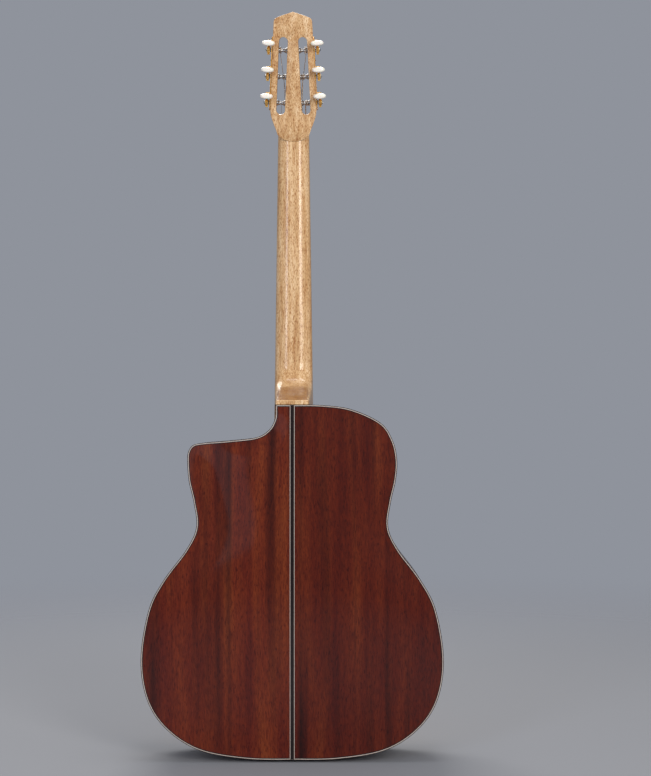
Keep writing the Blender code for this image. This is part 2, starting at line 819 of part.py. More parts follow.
def addWorm(name, material, parent, **place):
    """A right-hand thread with trapezoid ridges, closed at both ends, on a plain shaft."""
    around, turns = 10, 2
    land = pitch - 0.00125
    profile = [(0.0, wormRoot), (land, wormRoot), (land + 0.00025, wormTip), (pitch - 0.00025, wormTip)]
    start = -(pitch * 1.25 + land / 2)
    points, rows = [], 4 * turns + 1
    for j in range(around):
        a = 2 * pi * j / around
        for k in range(rows):
            along, radius = profile[k % 4]
            points.append((radius * cos(a), start + pitch * (j / around + k // 4) + along, -radius * sin(a)))
    extra = len(points)
    for k in range(rows, rows + 4):
        along, radius = profile[k % 4]
        points.append((radius, start + pitch * (k // 4) + along, 0.0))

    def at(j, k):
        if j == around:
            j, k = 0, k + 4
        return j * rows + k if k < rows else extra + k - rows

    faces = []
    for j in range(around):
        for k in range(rows - 1):
            faces.append([at(j, k), at(j, k + 1), at(j + 1, k + 1), at(j + 1, k)])
    low, high = len(points), len(points) + 1
    points += [(0, start + pitch / 2, 0), (0, start + pitch * (turns + 0.5), 0)]
    for j in range(around):
        faces.append([low, at(j, 0), at(j + 1, 0)])
        faces.append([high, at(j, rows - 1), at(j + 1, rows - 1)])
    for k in range(4):
        faces.append([low, at(0, k), at(0, k + 1)])
        faces.append([high, at(0, rows - 1 + k), at(0, rows + k)])
    worm = addMesh(name, points, faces, material, parent, smooth=25, **place)
    ends = [(-wormShaftReach, wormShaftRadius), (buttonStart - gap, wormShaftRadius)]
    shaft = addTurned(name + "Shaft", ends, 10, "Y", None, parent, **place)
    return combine(worm, shaft, "UNION")


wormShaftReach = 0.0074
wormShoulder = 0.0052
lugThickness = 0.0012
lugOut = wormOut + 0.0042
lugHalf = 0.0044
# Places along the button with its half width and half thickness
buttonRings = [
    (0.0, 0.0026, 0.0024), (0.0022, 0.0032, 0.0028), (0.0042, 0.0066, 0.0035), (0.0080, 0.0085, 0.0039),
    (0.0118, 0.0079, 0.0037), (0.0144, 0.0056, 0.0028), (0.0150, 0.0040, 0.0020),
]
gearOutline = []
for tooth in range(gearTeeth):
    middle = 2 * pi * tooth / gearTeeth
    for radius, wide in ((gearRoot, -0.00135), (gearTip, -0.0007), (gearTip, 0.0007), (gearRoot, 0.00135)):
        a = middle + wide / 2 / radius
        gearOutline.append((radius * sin(a), radius * cos(a)))
gearInner = wormOut - gearWidth / 2
tunerNumber = {-1: {-1: 1, 0: 2, 1: 3}, 1: {1: 4, 0: 5, -1: 6}}
for side, label in ((-1, "bass"), (1, "treble")):
    line = tunerLine[side]
    plateLow, plateHigh = -rollerSpacing - 0.0105, rollerSpacing + wormOffset + 0.0085
    plate = addBox(
        "plate_" + label,
        (side * plateStart, -0.0062, plateLow),
        (side * plateEnd, 0.0062, plateHigh),
        brass,
        line,
    )
    for i in (-1, 0, 1):
        number = tunerNumber[side][i]
        z = i * rollerSpacing
        wormZ = z + wormOffset
        slotInner = -slotFromEdge - slotWidth / 2
        slotOuter = -slotFromEdge + slotWidth / 2
        rollerProfile = [
            (pinInner, shaftRadius - 0.0004), (pinInner + 0.0008, shaftRadius),
            (slotInner + gap, shaftRadius),
            (slotInner + gap, rollerRadius), (slotOuter - gap, rollerRadius), (slotOuter - gap, shaftRadius),
            (gearInner - gap, shaftRadius),
        ]
        addTurned(
            "roller_%d" % number,
            [(side * along, radius) for along, radius in rollerProfile],
            12,
            "X",
            steel,
            line,
            location=(0, 0, z),
        )
        addPrism(
            "gear_%d" % number,
            gearOutline,
            side * gearInner,
            side * (gearInner + gearWidth),
            "X",
            brass,
            line,
            location=(0, 0, z),
            smooth=30,
        )
        addWorm("worm_%d" % number, steel, line, location=(side * wormOut, 0, wormZ))
        rings = []
        for along, wide, thick in buttonRings:
            wide, thick = wide * buttonWide / 0.017, thick * buttonThick / 0.0078
            along = along * buttonLength / 0.015
            rings.append(
                [(wide * cos(2 * pi * k / 12), along, thick * sin(2 * pi * k / 12)) for k in range(12)]
            )
        addLoft(
            "button_%d" % number, rings, pearloid, line, location=(side * wormOut, 0, wormZ), smooth=50
        ).data.transform(Matrix.Translation((0, buttonStart, 0)))
        for end in (-1, 1):
            lugLow, lugHigh = sorted((end * wormShoulder, end * (wormShoulder + lugThickness)))
            lug = addBox(
                "lug%d%s" % (number, "Front" if end < 0 else "Rear"),
                (side * (plateStart + 0.0004), lugLow, wormZ - lugHalf),
                (side * lugOut, lugHigh, wormZ + lugHalf),
                None,
                line,
            )
            combine(plate, lug, "UNION")
        bores = (
            ("shaftBore%d" % number, "X", [(-side * 0.004, boreRadius), (side * 0.004, boreRadius)], (0, 0, z)),
            (
                "wormBore%d" % number,
                "Y",
                [(-0.010, wormShaftRadius + gap), (0.010, wormShaftRadius + gap)],
                (side * wormOut, 0, wormZ),
            ),
        )
        for name, axis, points, place in bores:
            combine(plate, addTurned(name, points, 10, axis, None, line, location=place), "DIFFERENCE")

# Bridge, with a hollow under its middle and feet that follow the soundboard
saddleTop = topY(0, saddleZ) - gap - bridgeHeight
bridgeHalf = bridgeLength / 2
bridgeTopHalf = 0.0022
saddleHalf = stringSpreadBridge / 2 + 0.006
archHalf = 0.016
archHeight = 0.007
feet = [bridgeHalf - (bridgeHalf - archHalf) * i / 4 for i in range(5)]
bridgeOutline = [(x, topY(x, saddleZ) - gap) for x in feet]
bridgeOutline += [(side * archHalf * 0.7, topY(0, saddleZ) - archHeight) for side in (1, -1)]
bridgeOutline += [(-x, topY(x, saddleZ) - gap) for x in reversed(feet)]
bridgeOutline += [
    (-bridgeHalf, topY(bridgeHalf, saddleZ) - 0.0055), (-saddleHalf - 0.010, saddleTop + 0.0085),
    (-saddleHalf, saddleTop), (saddleHalf, saddleTop), (saddleHalf + 0.010, saddleTop + 0.0085),
    (bridgeHalf, topY(bridgeHalf, saddleZ) - 0.0055),
]
footHalf = bridgeFoot / 2
bridge = addPrism("bridge", bridgeOutline, saddleZ - footHalf, saddleZ + footHalf, "Z", rosewood, root)
bridgeHalfSide = [
    (0.002, footHalf - 0.0002), (topY(0, saddleZ) - 0.004, footHalf - 0.0004), (saddleTop - 0.0005, bridgeTopHalf),
]
bridgeSide = [(y, saddleZ + half) for y, half in bridgeHalfSide]
bridgeSide += [(y, saddleZ - half) for y, half in reversed(bridgeHalfSide)]
bridgeSides = addPrism("bridgeSides", bridgeSide, -bridgeHalf - 0.01, bridgeHalf + 0.01, "X", None, root)
combine(bridge, bridgeSides, "INTERSECT")
# Share of the length, centre's drop toward the tail, half width and height of each wing's sections
wingSections = [
    (0.0, 0.0, 0.0055, 0.0050), (0.18, 0.0012, 0.0070, 0.0048), (0.38, 0.0030, 0.0072, 0.0042),
    (0.60, 0.0034, 0.0058, 0.0034), (0.80, 0.0012, 0.0040, 0.0027), (0.94, -0.0030, 0.0024, 0.0022),
    (1.0, -0.0056, 0.0010, 0.0018),
]
for side, name in ((-1, "moustache_bass"), (1, "moustache_treble")):
    rings = []
    for share, drop, half, tall in wingSections:
        x = side * (bridgeHalf + 0.0006 + moustacheLength * share)
        z = saddleZ - drop
        low = min(topY(x, z - half), topY(x, z + half)) - gap
        corners = [(low, -half), (low, half), (low - tall, half * 0.8), (low - tall, -half * 0.8)]
        rings.append([(x, y, z + across) for y, across in corners])
    addLoft(name, rings, rosewood, root, smooth=30)

# Tailpiece: a plate on the tail, bent over the edge and up to the bar that holds the strings
tailSections = [
    # Height above the tail edge, distance in front of the rim, half width
    (-tailClear, -0.040, 0.0210), (-tailClear, -0.006, 0.0210), (-tailClear, 0.0030, 0.0200),
    (0.0010, 0.0052, 0.0195), (0.0080, 0.0064, 0.0180), (0.0420, 0.0106, 0.0150),
    (0.0720, 0.0138, 0.0245), (0.0820, 0.0148, 0.0290), (tailpieceLength - 0.002, 0.0172, 0.0310),
]
tailRings = []
for i, (z, front, half) in enumerate(tailSections):
    before, after = tailSections[max(i - 1, 0)], tailSections[min(i + 1, len(tailSections) - 1)]
    ahead = Vector(after[:2]) - Vector(before[:2])
    out = Vector((-ahead.y, ahead.x)).normalized() * tailPlate
    skins = [(-front, z), (-front - out.y, z + out.x)]
    tailRings.append([(x, y, high) for (y, high), ends in zip(skins, ((-half, half), (half, -half))) for x in ends])
tailpiece = addLoft("tailpiece", tailRings, brass, root, smooth=30)
barFront = tailSections[-1][1]
barHalfWidth = tailSections[-1][2]
stringBar = addBox(
    "stringBar",
    (-barHalfWidth, -barFront - stringBarHeight, tailpieceLength - stringBarLength),
    (barHalfWidth, -barFront + 0.0012, tailpieceLength),
    None,
    root,
)
combine(tailpiece, stringBar, "UNION")
# The insert lies on the plate's flared end, below the bar
insertLow, insertHigh = tailSections[6], tailSections[8]
insertSlope = (insertHigh[1] - insertLow[1]) / (insertHigh[0] - insertLow[0])
insertRings = []
for z in (insertLow[0], insertLow[0] + 0.010, tailpieceLength - stringBarLength - 2 * gap):
    half = insertLow[2] - 0.004 + (insertHigh[2] - insertLow[2]) * min(1.0, (z - insertLow[0]) / 0.010)
    face = -(insertLow[1] + insertSlope * (z - insertLow[0])) - tailPlate - 2 * gap
    outer = face - insertThickness
    insertRings.append([(-half, face, z), (half, face, z), (half, outer, z), (-half, outer, z)])
addLoft("tailpiece_insert", insertRings, rosewood, root)


def frameMatrix(frame):
    """Takes a point of a leaning frame into the guitar's own frame."""
    whole = Matrix()
    while frame != root:
        whole = Matrix.Translation(frame.location) @ frame.rotation_euler.to_matrix().to_4x4() @ whole
        frame = frame.parent
    return whole


def inRoot(frame, point):
    return frameMatrix(frame) @ Vector(point)


def leastGap(points, radius, reach):
    """The least distance between the skins of parts of a tube a good way apart along it."""
    found = 1.0
    for i, a in enumerate(points):
        for b in points[i + reach :]:
            found = min(found, (a - b).length - 2 * radius)
    return found


# Strings, each one tube from the tailpiece over the bridge and nut to its winding
nutFront = neckLength + gap
nutBack = neckLength + gap + nutLength
# How far inside the head's edge each winding starts, and the way it grows along the roller
outerStart = slotInnerFromEdge - slotWidth + 0.0014
windingStart = {1: (slotInnerFromEdge - 0.0055, 1), 2: (slotInnerFromEdge - 0.0036, 1), 3: (outerStart, -1)}
windingStart.update({4: windingStart[3], 5: windingStart[2], 6: windingStart[1]})
stringOrder = [(1, -1, -1), (2, -1, 0), (3, -1, 1), (4, 1, 1), (5, 1, 0), (6, 1, -1)]
for place, (number, side, slotIndex) in enumerate(stringOrder):
    radius = stringRadii[place]
    share = place / 5 - 0.5
    rise = -stringRise - radius - gap
    tailY = -barFront - stringBarHeight * 0.55 - radius
    tail = Vector((stringSpreadTail * share, tailY, tailpieceLength + gap))
    saddle = Vector((stringSpreadBridge * share, saddleTop - radius - gap, saddleZ))
    frontTop = inRoot(neckFrame, (stringSpreadNut * share, rise, nutFront))
    backTop = inRoot(neckFrame, (stringSpreadNut * share, rise, nutBack))
    # Seen along the roller, the string meets its winding's circle as a tangent on the front
    line = tunerLine[side]
    axisZ = slotIndex * rollerSpacing
    leave = frameMatrix(line).inverted() @ backTop
    coil = rollerRadius + radius + gap
    toNut = Vector((leave.z - axisZ, -leave.y))
    top = atan2(toNut.y, toNut.x) - acos(coil / toNut.length)
    fromEdge, way = windingStart[number]
    coilPoints = []
    for i in range(round(windingTurns * loopPoints) + 1):
        a = top - 2 * pi * i / loopPoints
        out = -fromEdge + way * (2 * radius + windingGap) * i / loopPoints
        coilPoints.append(Vector((side * out, -coil * sin(a), axisZ + coil * cos(a))))
    endWay = (coilPoints[-1] - coilPoints[-2]).normalized()
    coilPoints.append(coilPoints[-1] + endWay * 2 * radius)
    coilGap = leastGap(coilPoints, radius, loopPoints // 2)
    print("string", number, "winding's least gap to itself, mm", round(1000 * coilGap, 3))
    route = [tail, saddle, frontTop, backTop] + [inRoot(line, p) for p in coilPoints]
    curve = bpy.data.curves.new("string_%d" % number, "CURVE")
    curve.dimensions = "3D"
    curve.bevel_depth = radius
    curve.bevel_resolution = 1
    curve.use_fill_caps = True
    spline = curve.splines.new("POLY")
    spline.points.add(len(route) - 1)
    for point, co in zip(spline.points, route):
        point.co = (*co, 1)
    curve.materials.append(bronze if place < 4 else steel)
    string = bpy.data.objects.new("string_%d" % number, curve)
    bpy.context.collection.objects.link(string)
    string.parent = root
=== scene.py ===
from math import acos, atan2, copysign, cos, pi, radians, sin, tan

import bmesh
import bpy
from mathutils import Matrix, Vector


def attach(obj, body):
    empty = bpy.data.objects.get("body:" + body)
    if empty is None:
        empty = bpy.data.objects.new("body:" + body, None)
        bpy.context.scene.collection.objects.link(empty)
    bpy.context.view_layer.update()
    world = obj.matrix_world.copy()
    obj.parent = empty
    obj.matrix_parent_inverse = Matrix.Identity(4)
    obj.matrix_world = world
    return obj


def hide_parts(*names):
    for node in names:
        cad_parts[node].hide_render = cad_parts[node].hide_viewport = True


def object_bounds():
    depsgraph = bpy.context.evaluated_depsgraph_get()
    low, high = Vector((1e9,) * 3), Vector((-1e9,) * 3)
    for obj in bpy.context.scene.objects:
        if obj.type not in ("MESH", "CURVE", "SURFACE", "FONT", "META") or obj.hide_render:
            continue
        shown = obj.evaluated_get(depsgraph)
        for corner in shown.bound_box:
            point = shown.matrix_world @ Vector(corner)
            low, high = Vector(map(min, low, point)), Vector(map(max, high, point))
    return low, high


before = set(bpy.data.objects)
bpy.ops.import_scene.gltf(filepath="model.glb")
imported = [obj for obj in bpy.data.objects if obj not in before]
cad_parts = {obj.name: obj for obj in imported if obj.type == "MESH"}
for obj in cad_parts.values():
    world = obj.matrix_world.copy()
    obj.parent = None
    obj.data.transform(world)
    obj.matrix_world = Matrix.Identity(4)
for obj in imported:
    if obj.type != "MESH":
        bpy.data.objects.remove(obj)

cadBox = [list(corner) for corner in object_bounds()]

scene = bpy.context.scene
scene.view_settings.view_transform = "Standard"


# sRGB hex to the linear numbers that the shader wants
def linearColour(hexColour):
    channels = [int(hexColour[i : i + 2], 16) / 255 for i in (1, 3, 5)]
    return (*[c / 12.92 if c <= 0.04045 else ((c + 0.055) / 1.055) ** 2.4 for c in channels], 1)


def addNode(tree, kind, values={}, links={}, **settings):
    node = tree.nodes.new(kind)
    for name, value in settings.items():
        setattr(node, name, value)
    for key, value in values.items():
        node.inputs[key].default_value = value
    for key, source in links.items():
        tree.links.new(source, node.inputs[key])
    return node


def mathNode(tree, operation, values, links):
    return addNode(tree, "ShaderNodeMath", values, links, operation=operation).outputs[0]


def startMaterial(name, finish):
    material = bpy.data.materials.new(name)
    material.use_nodes = True
    tree = material.node_tree
    shader = tree.nodes["Principled BSDF"]
    for socket, value in finish.items():
        shader.inputs[socket].default_value = value
    return material, tree, shader


def addObject(name, data):
    made = bpy.data.objects.new(name, data)
    scene.collection.objects.link(made)
    return made


# the angles of a full turn in equal steps
def turns(count):
    return [2 * pi * k / count for k in range(count)]


# studio: the camera stands about 2 m behind the back, as in the photograph
studio = {
    "distance": 2.0,
    "fieldTall": 1.026,
    "cameraX": -0.044,
    "cameraZ": -0.4055,
    "liftedView": 0.05,  # the lens is shifted up by this much, so that the back stays in place
    "backPlaneY": 0.088,
    "floorRadius": 3.2,
    "floorFade": (0.5, 2.6),
    "floorDrop": 0.0013,  # the tail screws stand on the floor, below the CAD model's box
    "floorColour": "#8E9199",
    "backdropColour": "#8F939C",
    "ambient": 0.5,
    "mirrored": 0.5,  # how much of the backdrop shows in glossy surfaces
}
softboxes = {
    # place, aim, wide, tall, watts, colour
    "keySoftbox": ((-1.35, 2.6, 0.50), (0, 0, -0.35), 0.8, 1.5, 46, "#FFF7EC"),
    "fillSoftbox": ((1.35, 2.6, 0.30), (0, 0, -0.45), 0.7, 1.4, 20, "#F1F5FF"),
    "frontSoftbox": ((0.5, -1.75, 1.75), (0, 0, -0.45), 1.9, 1.4, 43, "#FFFAF3"),
    "topSoftbox": ((-0.22, 0.25, 1.5), (0, 0, -0.4), 0.8, 0.4, 6, "#FFFFFF"),
    "paleGlow": ((0.42, 2.75, -0.42), (0.1, 0, -0.45), 0.20, 0.60, 0.15, "#E8EEFF"),
}

cameraData = bpy.data.cameras.new("camera")
cameraData.sensor_fit = "VERTICAL"
cameraData.sensor_height = 24
cameraData.sensor_width = 24
cameraData.lens = cameraData.sensor_height * studio["distance"] / studio["fieldTall"]
cameraData.shift_y = studio["liftedView"] / studio["fieldTall"]
camera = addObject("camera", cameraData)
camera.location = (studio["cameraX"], studio["backPlaneY"] + studio["distance"], studio["cameraZ"])
camera.rotation_euler = (radians(90), 0, radians(180))
scene.camera = camera

for name, (place, aim, wide, tall, watts, colour) in softboxes.items():
    lampData = bpy.data.lights.new(name, "AREA")
    lampData.shape = "RECTANGLE"
    lampData.size = wide
    lampData.size_y = tall
    lampData.energy = watts
    lampData.color = linearColour(colour)[:3]
    lamp = addObject(name, lampData)
    lamp.location = place
    lamp.rotation_euler = (Vector(place) - Vector(aim)).to_track_quat("Z", "Y").to_euler()

world = bpy.data.worlds.new("studioAir")
scene.world = world
world.use_nodes = True
air = world.node_tree
air.nodes.clear()
rays = addNode(air, "ShaderNodeLightPath").outputs
backdrop = studio["backdropColour"]
lit, shown, mirrored = (
    addNode(air, "ShaderNodeBackground", {"Color": linearColour(colour), "Strength": strength}).outputs[0]
    for colour, strength in (("#FFFFFF", studio["ambient"]), (backdrop, 1.0), (backdrop, studio["mirrored"]))
)
seen = mathNode(air, "MAXIMUM", {}, {0: rays["Is Camera Ray"], 1: rays["Is Transmission Ray"]})
either = addNode(air, "ShaderNodeMixShader", {}, {0: seen, 1: lit, 2: shown}).outputs[0]
either = addNode(air, "ShaderNodeMixShader", {}, {0: rays["Is Glossy Ray"], 1: either, 2: mirrored}).outputs[0]
addNode(air, "ShaderNodeOutputWorld", {}, {"Surface": either})


# small builders for the nodes that the finishes share
def mapped(tree, value, start=(0, 1), end=(0, 1), **settings):
    limits = dict(zip(("From Min", "From Max", "To Min", "To Max"), (*start, *end)))
    return addNode(tree, "ShaderNodeMapRange", limits, {"Value": value}, **settings).outputs[0]


def tinted(tree, shade, amount, colour):
    mix = {"data_type": "RGBA", "blend_type": "MULTIPLY"}
    return addNode(tree, "ShaderNodeMix", {7: linearColour(colour)}, {0: amount, 6: shade}, **mix).outputs[2]


def vectorMath(tree, operation, values, links):
    return addNode(tree, "ShaderNodeVectorMath", values, links, operation=operation).outputs[0]


# the start of every finish: its colours over a value
def toned(tree, value, stops):
    node = addNode(tree, "ShaderNodeValToRGB", {}, {"Fac": value})
    ramp = node.color_ramp
    while len(ramp.elements) < len(stops):
        ramp.elements.new(0.5)
    for element, (position, colour) in zip(ramp.elements, stops):
        element.position = position
        element.color = linearColour(colour)
    return node.outputs[0]


# the end of every finish: colour, roughness and relief go into the shader
def surfaced(tree, shader, shade, rough, height, relief, deep, **settings):
    bump = addNode(tree, "ShaderNodeBump", {"Strength": relief, "Distance": deep}, {"Height": height}, **settings)
    for socket, source in (("Base Color", shade), ("Roughness", rough), ("Normal", bump.outputs[0])):
        tree.links.new(source, shader.inputs[socket])


# the floor is a wide disc that fades into the backdrop's colour away from the guitar
floorFinish = {"Base Color": linearColour(studio["floorColour"]), "Roughness": 0.7}
floorMaterial, tree, shader = startMaterial("studioFloor", floorFinish)
spot = addNode(tree, "ShaderNodeTexCoord").outputs["Object"]
reach = addNode(tree, "ShaderNodeVectorMath", {}, {0: spot}, operation="LENGTH")
fade = mapped(tree, reach.outputs["Value"], studio["floorFade"], interpolation_type="SMOOTHSTEP")
clear = addNode(tree, "ShaderNodeBsdfTransparent").outputs[0]
edge = addNode(tree, "ShaderNodeMixShader", {}, {0: fade, 1: shader.outputs[0], 2: clear})
tree.links.new(edge.outputs[0], tree.nodes["Material Output"].inputs["Surface"])
floorData = bpy.data.meshes.new("studioFloor")
floorRim = [(studio["floorRadius"] * cos(a), studio["floorRadius"] * sin(a), 0) for a in turns(96)]
floorData.from_pydata(floorRim, [], [list(range(96))])
floorData.materials.append(floorMaterial)
studioFloor = addObject("studioFloor", floorData)
studioFloor.location = (0, 0, cadBox[0][2] - studio["floorDrop"])
print("camera, softboxes and floor are in place")


# One wood: broad ribbons, fine grain lines and pores, drawn along the piece's own Z after the turn
def woodFinish(name, look):
    material, tree, shader = startMaterial(name, look["finish"])
    coords = addNode(tree, "ShaderNodeTexCoord").outputs
    turn = {"Rotation": look.get("turn", (0, 0, 0))}
    placed = addNode(tree, "ShaderNodeMapping", turn, {"Vector": coords["Object"]}).outputs[0]
    parts = addNode(tree, "ShaderNodeSeparateXYZ", {}, {0: placed}).outputs
    across = mathNode(tree, "ABSOLUTE", {}, {0: parts["X"]}) if look.get("bookMatched") else parts["X"]
    folded = addNode(tree, "ShaderNodeCombineXYZ", {}, {0: across, 1: parts["Y"], 2: parts["Z"]}).outputs[0]

    # the grain wanders by a few millimetres along the board
    drift = vectorMath(tree, "MULTIPLY", {1: (4, 4, 1 / look["driftLength"])}, {0: folded})
    drift = addNode(tree, "ShaderNodeTexNoise", {"Scale": 1.0, "Detail": 1.0}, {"Vector": drift})
    wander = vectorMath(tree, "SUBTRACT", {1: (0.5, 0.5, 0.5)}, {0: drift.outputs["Color"]})
    wander = vectorMath(tree, "MULTIPLY", {1: (look["drift"], 0, 0)}, {0: wander})
    grain = vectorMath(tree, "ADD", {}, {0: folded, 1: wander})

    def streaks(seed, key, source=grain):
        wide, long, detail, low, high = look[key]
        size = (1 / wide, 1 / look.get("ringDepth", wide), 1 / long)
        scaled = vectorMath(tree, "MULTIPLY_ADD", {1: size, 2: (seed, seed * 2.3, seed * 0.7)}, {0: source})
        values = {"Scale": 1.0, "Detail": detail, "Roughness": 0.55}
        noise = addNode(tree, "ShaderNodeTexNoise", values, {"Vector": scaled})
        return mapped(tree, noise.outputs["Fac"], (low, high))

    shade = toned(tree, streaks(1, "ribbons"), look["tones"])
    lines, pores = streaks(2, "lines"), streaks(3, "pores")
    shade = tinted(tree, shade, lines, look["lineColour"])
    shade = tinted(tree, shade, pores, look["poreColour"])
    if look.get("bands"):
        # dark bands that do not mirror at the seam
        shade = tinted(tree, shade, streaks(4, "bands", placed), look["bandColour"])
    if look.get("endGrainAndShade"):
        # where a surface cuts across the grain the pores drink the lacquer and the wood reads darker; the same tint
        # also paints shade on the heel's upward-facing slope, which gets little light
        facing = addNode(tree, "ShaderNodeSeparateXYZ", {}, {0: coords["Normal"]})
        cut = mathNode(tree, "ABSOLUTE", {}, {0: facing.outputs["Z"]})
        cut = mapped(tree, cut, (0.86, 0.96), interpolation_type="SMOOTHSTEP")
        shade = tinted(tree, shade, cut, look["endGrainAndShade"])
    if look.get("paintedShadeHalf"):
        # painted shade: the bass half's colour is darkened, standing in for its ribbons showing to the light the other
        # way
        shade = tinted(tree, shade, mapped(tree, parts["X"], (0.003, -0.003)), look["paintedShadeHalf"])
    rough = mapped(tree, lines, end=look["roughness"])
    surfaced(tree, shader, shade, rough, pores, look["relief"], 0.0002, invert=True)
    return material


woodLooks = {
    # sapele, book matched and lacquered: ribbons 8-20 mm wide, red brown with purple-brown streaks under a hard gloss
    "lacqueredSapele": {
        "finish": {"Coat Weight": 0.75, "Coat Roughness": 0.06, "Coat IOR": 1.45, "Specular IOR Level": 0.08},
        # the bass half's darker tint set here is painted shade laid over the wood's colour
        "bookMatched": True, "paintedShadeHalf": "#DCCACA", "driftLength": 0.22, "drift": 0.016,
        "ribbons": (0.024, 0.34, 2.5, 0.28, 0.72), "lines": (0.0018, 0.011, 3.0, 0.34, 0.72),
        "bands": (0.017, 0.80, 1.5, 0.50, 0.76), "bandColour": "#80595F",
        "pores": (0.0011, 0.006, 1.0, 0.56, 0.72),  # real pores are 0.2 mm wide, drawn wider to show
        "tones": [(0.0, "#52150B"), (0.25, "#5F1D0B"), (0.50, "#6B270F"), (0.75, "#753113"), (1.0, "#7D3A19")],
        "lineColour": "#C4A49A", "poreColour": "#B9907F", "roughness": (0.38, 0.5), "relief": 0.10,
    },
    # pale mahogany of the neck: open pores filled under a thin satin lacquer, light tan with darker dashes
    "paleMahogany": {
        "finish": {"Coat Weight": 0.8, "Coat Roughness": 0.17, "Coat IOR": 1.5, "Specular IOR Level": 0.3},
        # the end grain tint set here is partly real end grain and partly painted shade on the heel's slope
        "endGrainAndShade": "#AE8D56", "driftLength": 0.3, "drift": 0.006,
        "ribbons": (0.008, 0.16, 2.0, 0.28, 0.72), "lines": (0.0016, 0.02, 2.0, 0.42, 0.75),
        "pores": (0.0008, 0.0036, 1.5, 0.50, 0.66),  # real pores are 0.3 mm wide, drawn wider to show
        "tones": [(0.0, "#C79C6C"), (0.4, "#D9B485"), (0.7, "#E6C498"), (1.0, "#F1D5AF")],
        "lineColour": "#DFC6A6", "poreColour": "#BE9A6E", "roughness": (0.36, 0.5), "relief": 0.3,
    },
    # spruce, quarter sawn and book matched: straight year rings about 1.3 mm apart, honey coloured lacquer
    "lacqueredSpruce": {
        "finish": {"Coat Weight": 1.0, "Coat Roughness": 0.07, "Coat IOR": 1.5},
        "bookMatched": True, "driftLength": 0.6, "drift": 0.004,
        "ringDepth": 0.06,  # quarter sawn rings stand upright in the board
        "ribbons": (0.040, 0.9, 1.0, 0.25, 0.75), "lines": (0.0010, 1.2, 0.0, 0.40, 0.72),
        "pores": (0.0022, 0.004, 1.0, 0.66, 0.8),
        "tones": [(0.0, "#DEAE70"), (0.5, "#E4B87C"), (1.0, "#E9C189")],
        "lineColour": "#E2BE92", "poreColour": "#F3E7D3", "roughness": (0.35, 0.5), "relief": 0.05,
    },
    # bare planed wood inside the box: pale, dry and dull, with soft lines
    "planedLining": {
        "finish": {}, "driftLength": 0.3, "drift": 0.004,
        "ribbons": (0.012, 0.2, 2.0, 0.3, 0.7), "lines": (0.0013, 0.2, 1.0, 0.45, 0.7),
        "pores": (0.0008, 0.006, 1.0, 0.62, 0.75),
        "tones": [(0.0, "#C39A68"), (0.5, "#D2AC7B"), (1.0, "#DDBB8E")],
        "lineColour": "#D8BE98", "poreColour": "#C9A87E", "roughness": (0.6, 0.75), "relief": 0.4,
    },
    # oiled ebony: nearly black, with faint brown streaks and a soft sheen
    "oiledEbony": {
        "finish": {}, "driftLength": 0.2, "drift": 0.003,
        "ribbons": (0.006, 0.14, 3.0, 0.35, 0.8), "lines": (0.0010, 0.04, 2.0, 0.45, 0.75),
        "pores": (0.0006, 0.004, 1.0, 0.6, 0.7),
        "tones": [(0.0, "#17110F"), (0.6, "#1F1714"), (1.0, "#33251D")],
        "lineColour": "#B5A8A0", "poreColour": "#7A6E68", "roughness": (0.34, 0.48), "relief": 0.3,
    },
    # rosewood, sanded and oiled: chocolate with black ink lines
    "rosewoodInsert": {
        "finish": {}, "driftLength": 0.08, "drift": 0.006,
        "ribbons": (0.004, 0.06, 3.0, 0.3, 0.7), "lines": (0.0011, 0.05, 2.0, 0.5, 0.66),
        "pores": (0.0006, 0.005, 1.0, 0.6, 0.7),
        "tones": [(0.0, "#2A130D"), (0.5, "#4A2417"), (1.0, "#643420")],
        "lineColour": "#6B4A3C", "poreColour": "#6B4A3C", "roughness": (0.34, 0.46), "relief": 0.35,
    },
}
# the same two woods with their grain along X
for name, source in (("planedSpruce", "planedLining"), ("oiledRosewood", "rosewoodInsert")):
    woodLooks[name] = {**woodLooks[source], "turn": (0, radians(90), 0)}
finish = {name: woodFinish(name, look) for name, look in woodLooks.items()}
print("woods are mixed:", ", ".join(finish))


# Plastics, bone, shell and metals: a colour with soft mottling, fine scratches in the roughness and a little relief
def smoothFinish(name, look):
    material, tree, shader = startMaterial(name, look["finish"])
    coords = addNode(tree, "ShaderNodeTexCoord").outputs["Object"]
    stretch = {"Scale": look.get("stretch", (1, 1, 1))}
    placed = addNode(tree, "ShaderNodeMapping", stretch, {"Vector": coords}).outputs[0]
    mottle, marks = (
        addNode(tree, "ShaderNodeTexNoise", {"Scale": 1 / look[key], "Detail": detail}, {"Vector": placed}).outputs[0]
        for key, detail in (("mottle", 3.0), ("marks", 2.0))
    )
    height = marks
    if look.get("winding"):
        # the wrap wire of a wound string, drawn at about twice its real 0.25 mm pitch
        pitch = {"Scale": 0.314 / look["winding"]}
        wrap = addNode(tree, "ShaderNodeTexWave", pitch, {"Vector": placed}, bands_direction="Z")
        height = wrap.outputs["Fac"]
    rough = mapped(tree, marks, (0.3, 0.7), look["roughness"])
    surfaced(tree, shader, toned(tree, mottle, look["tones"]), rough, height, look["relief"], 0.0001)
    return material


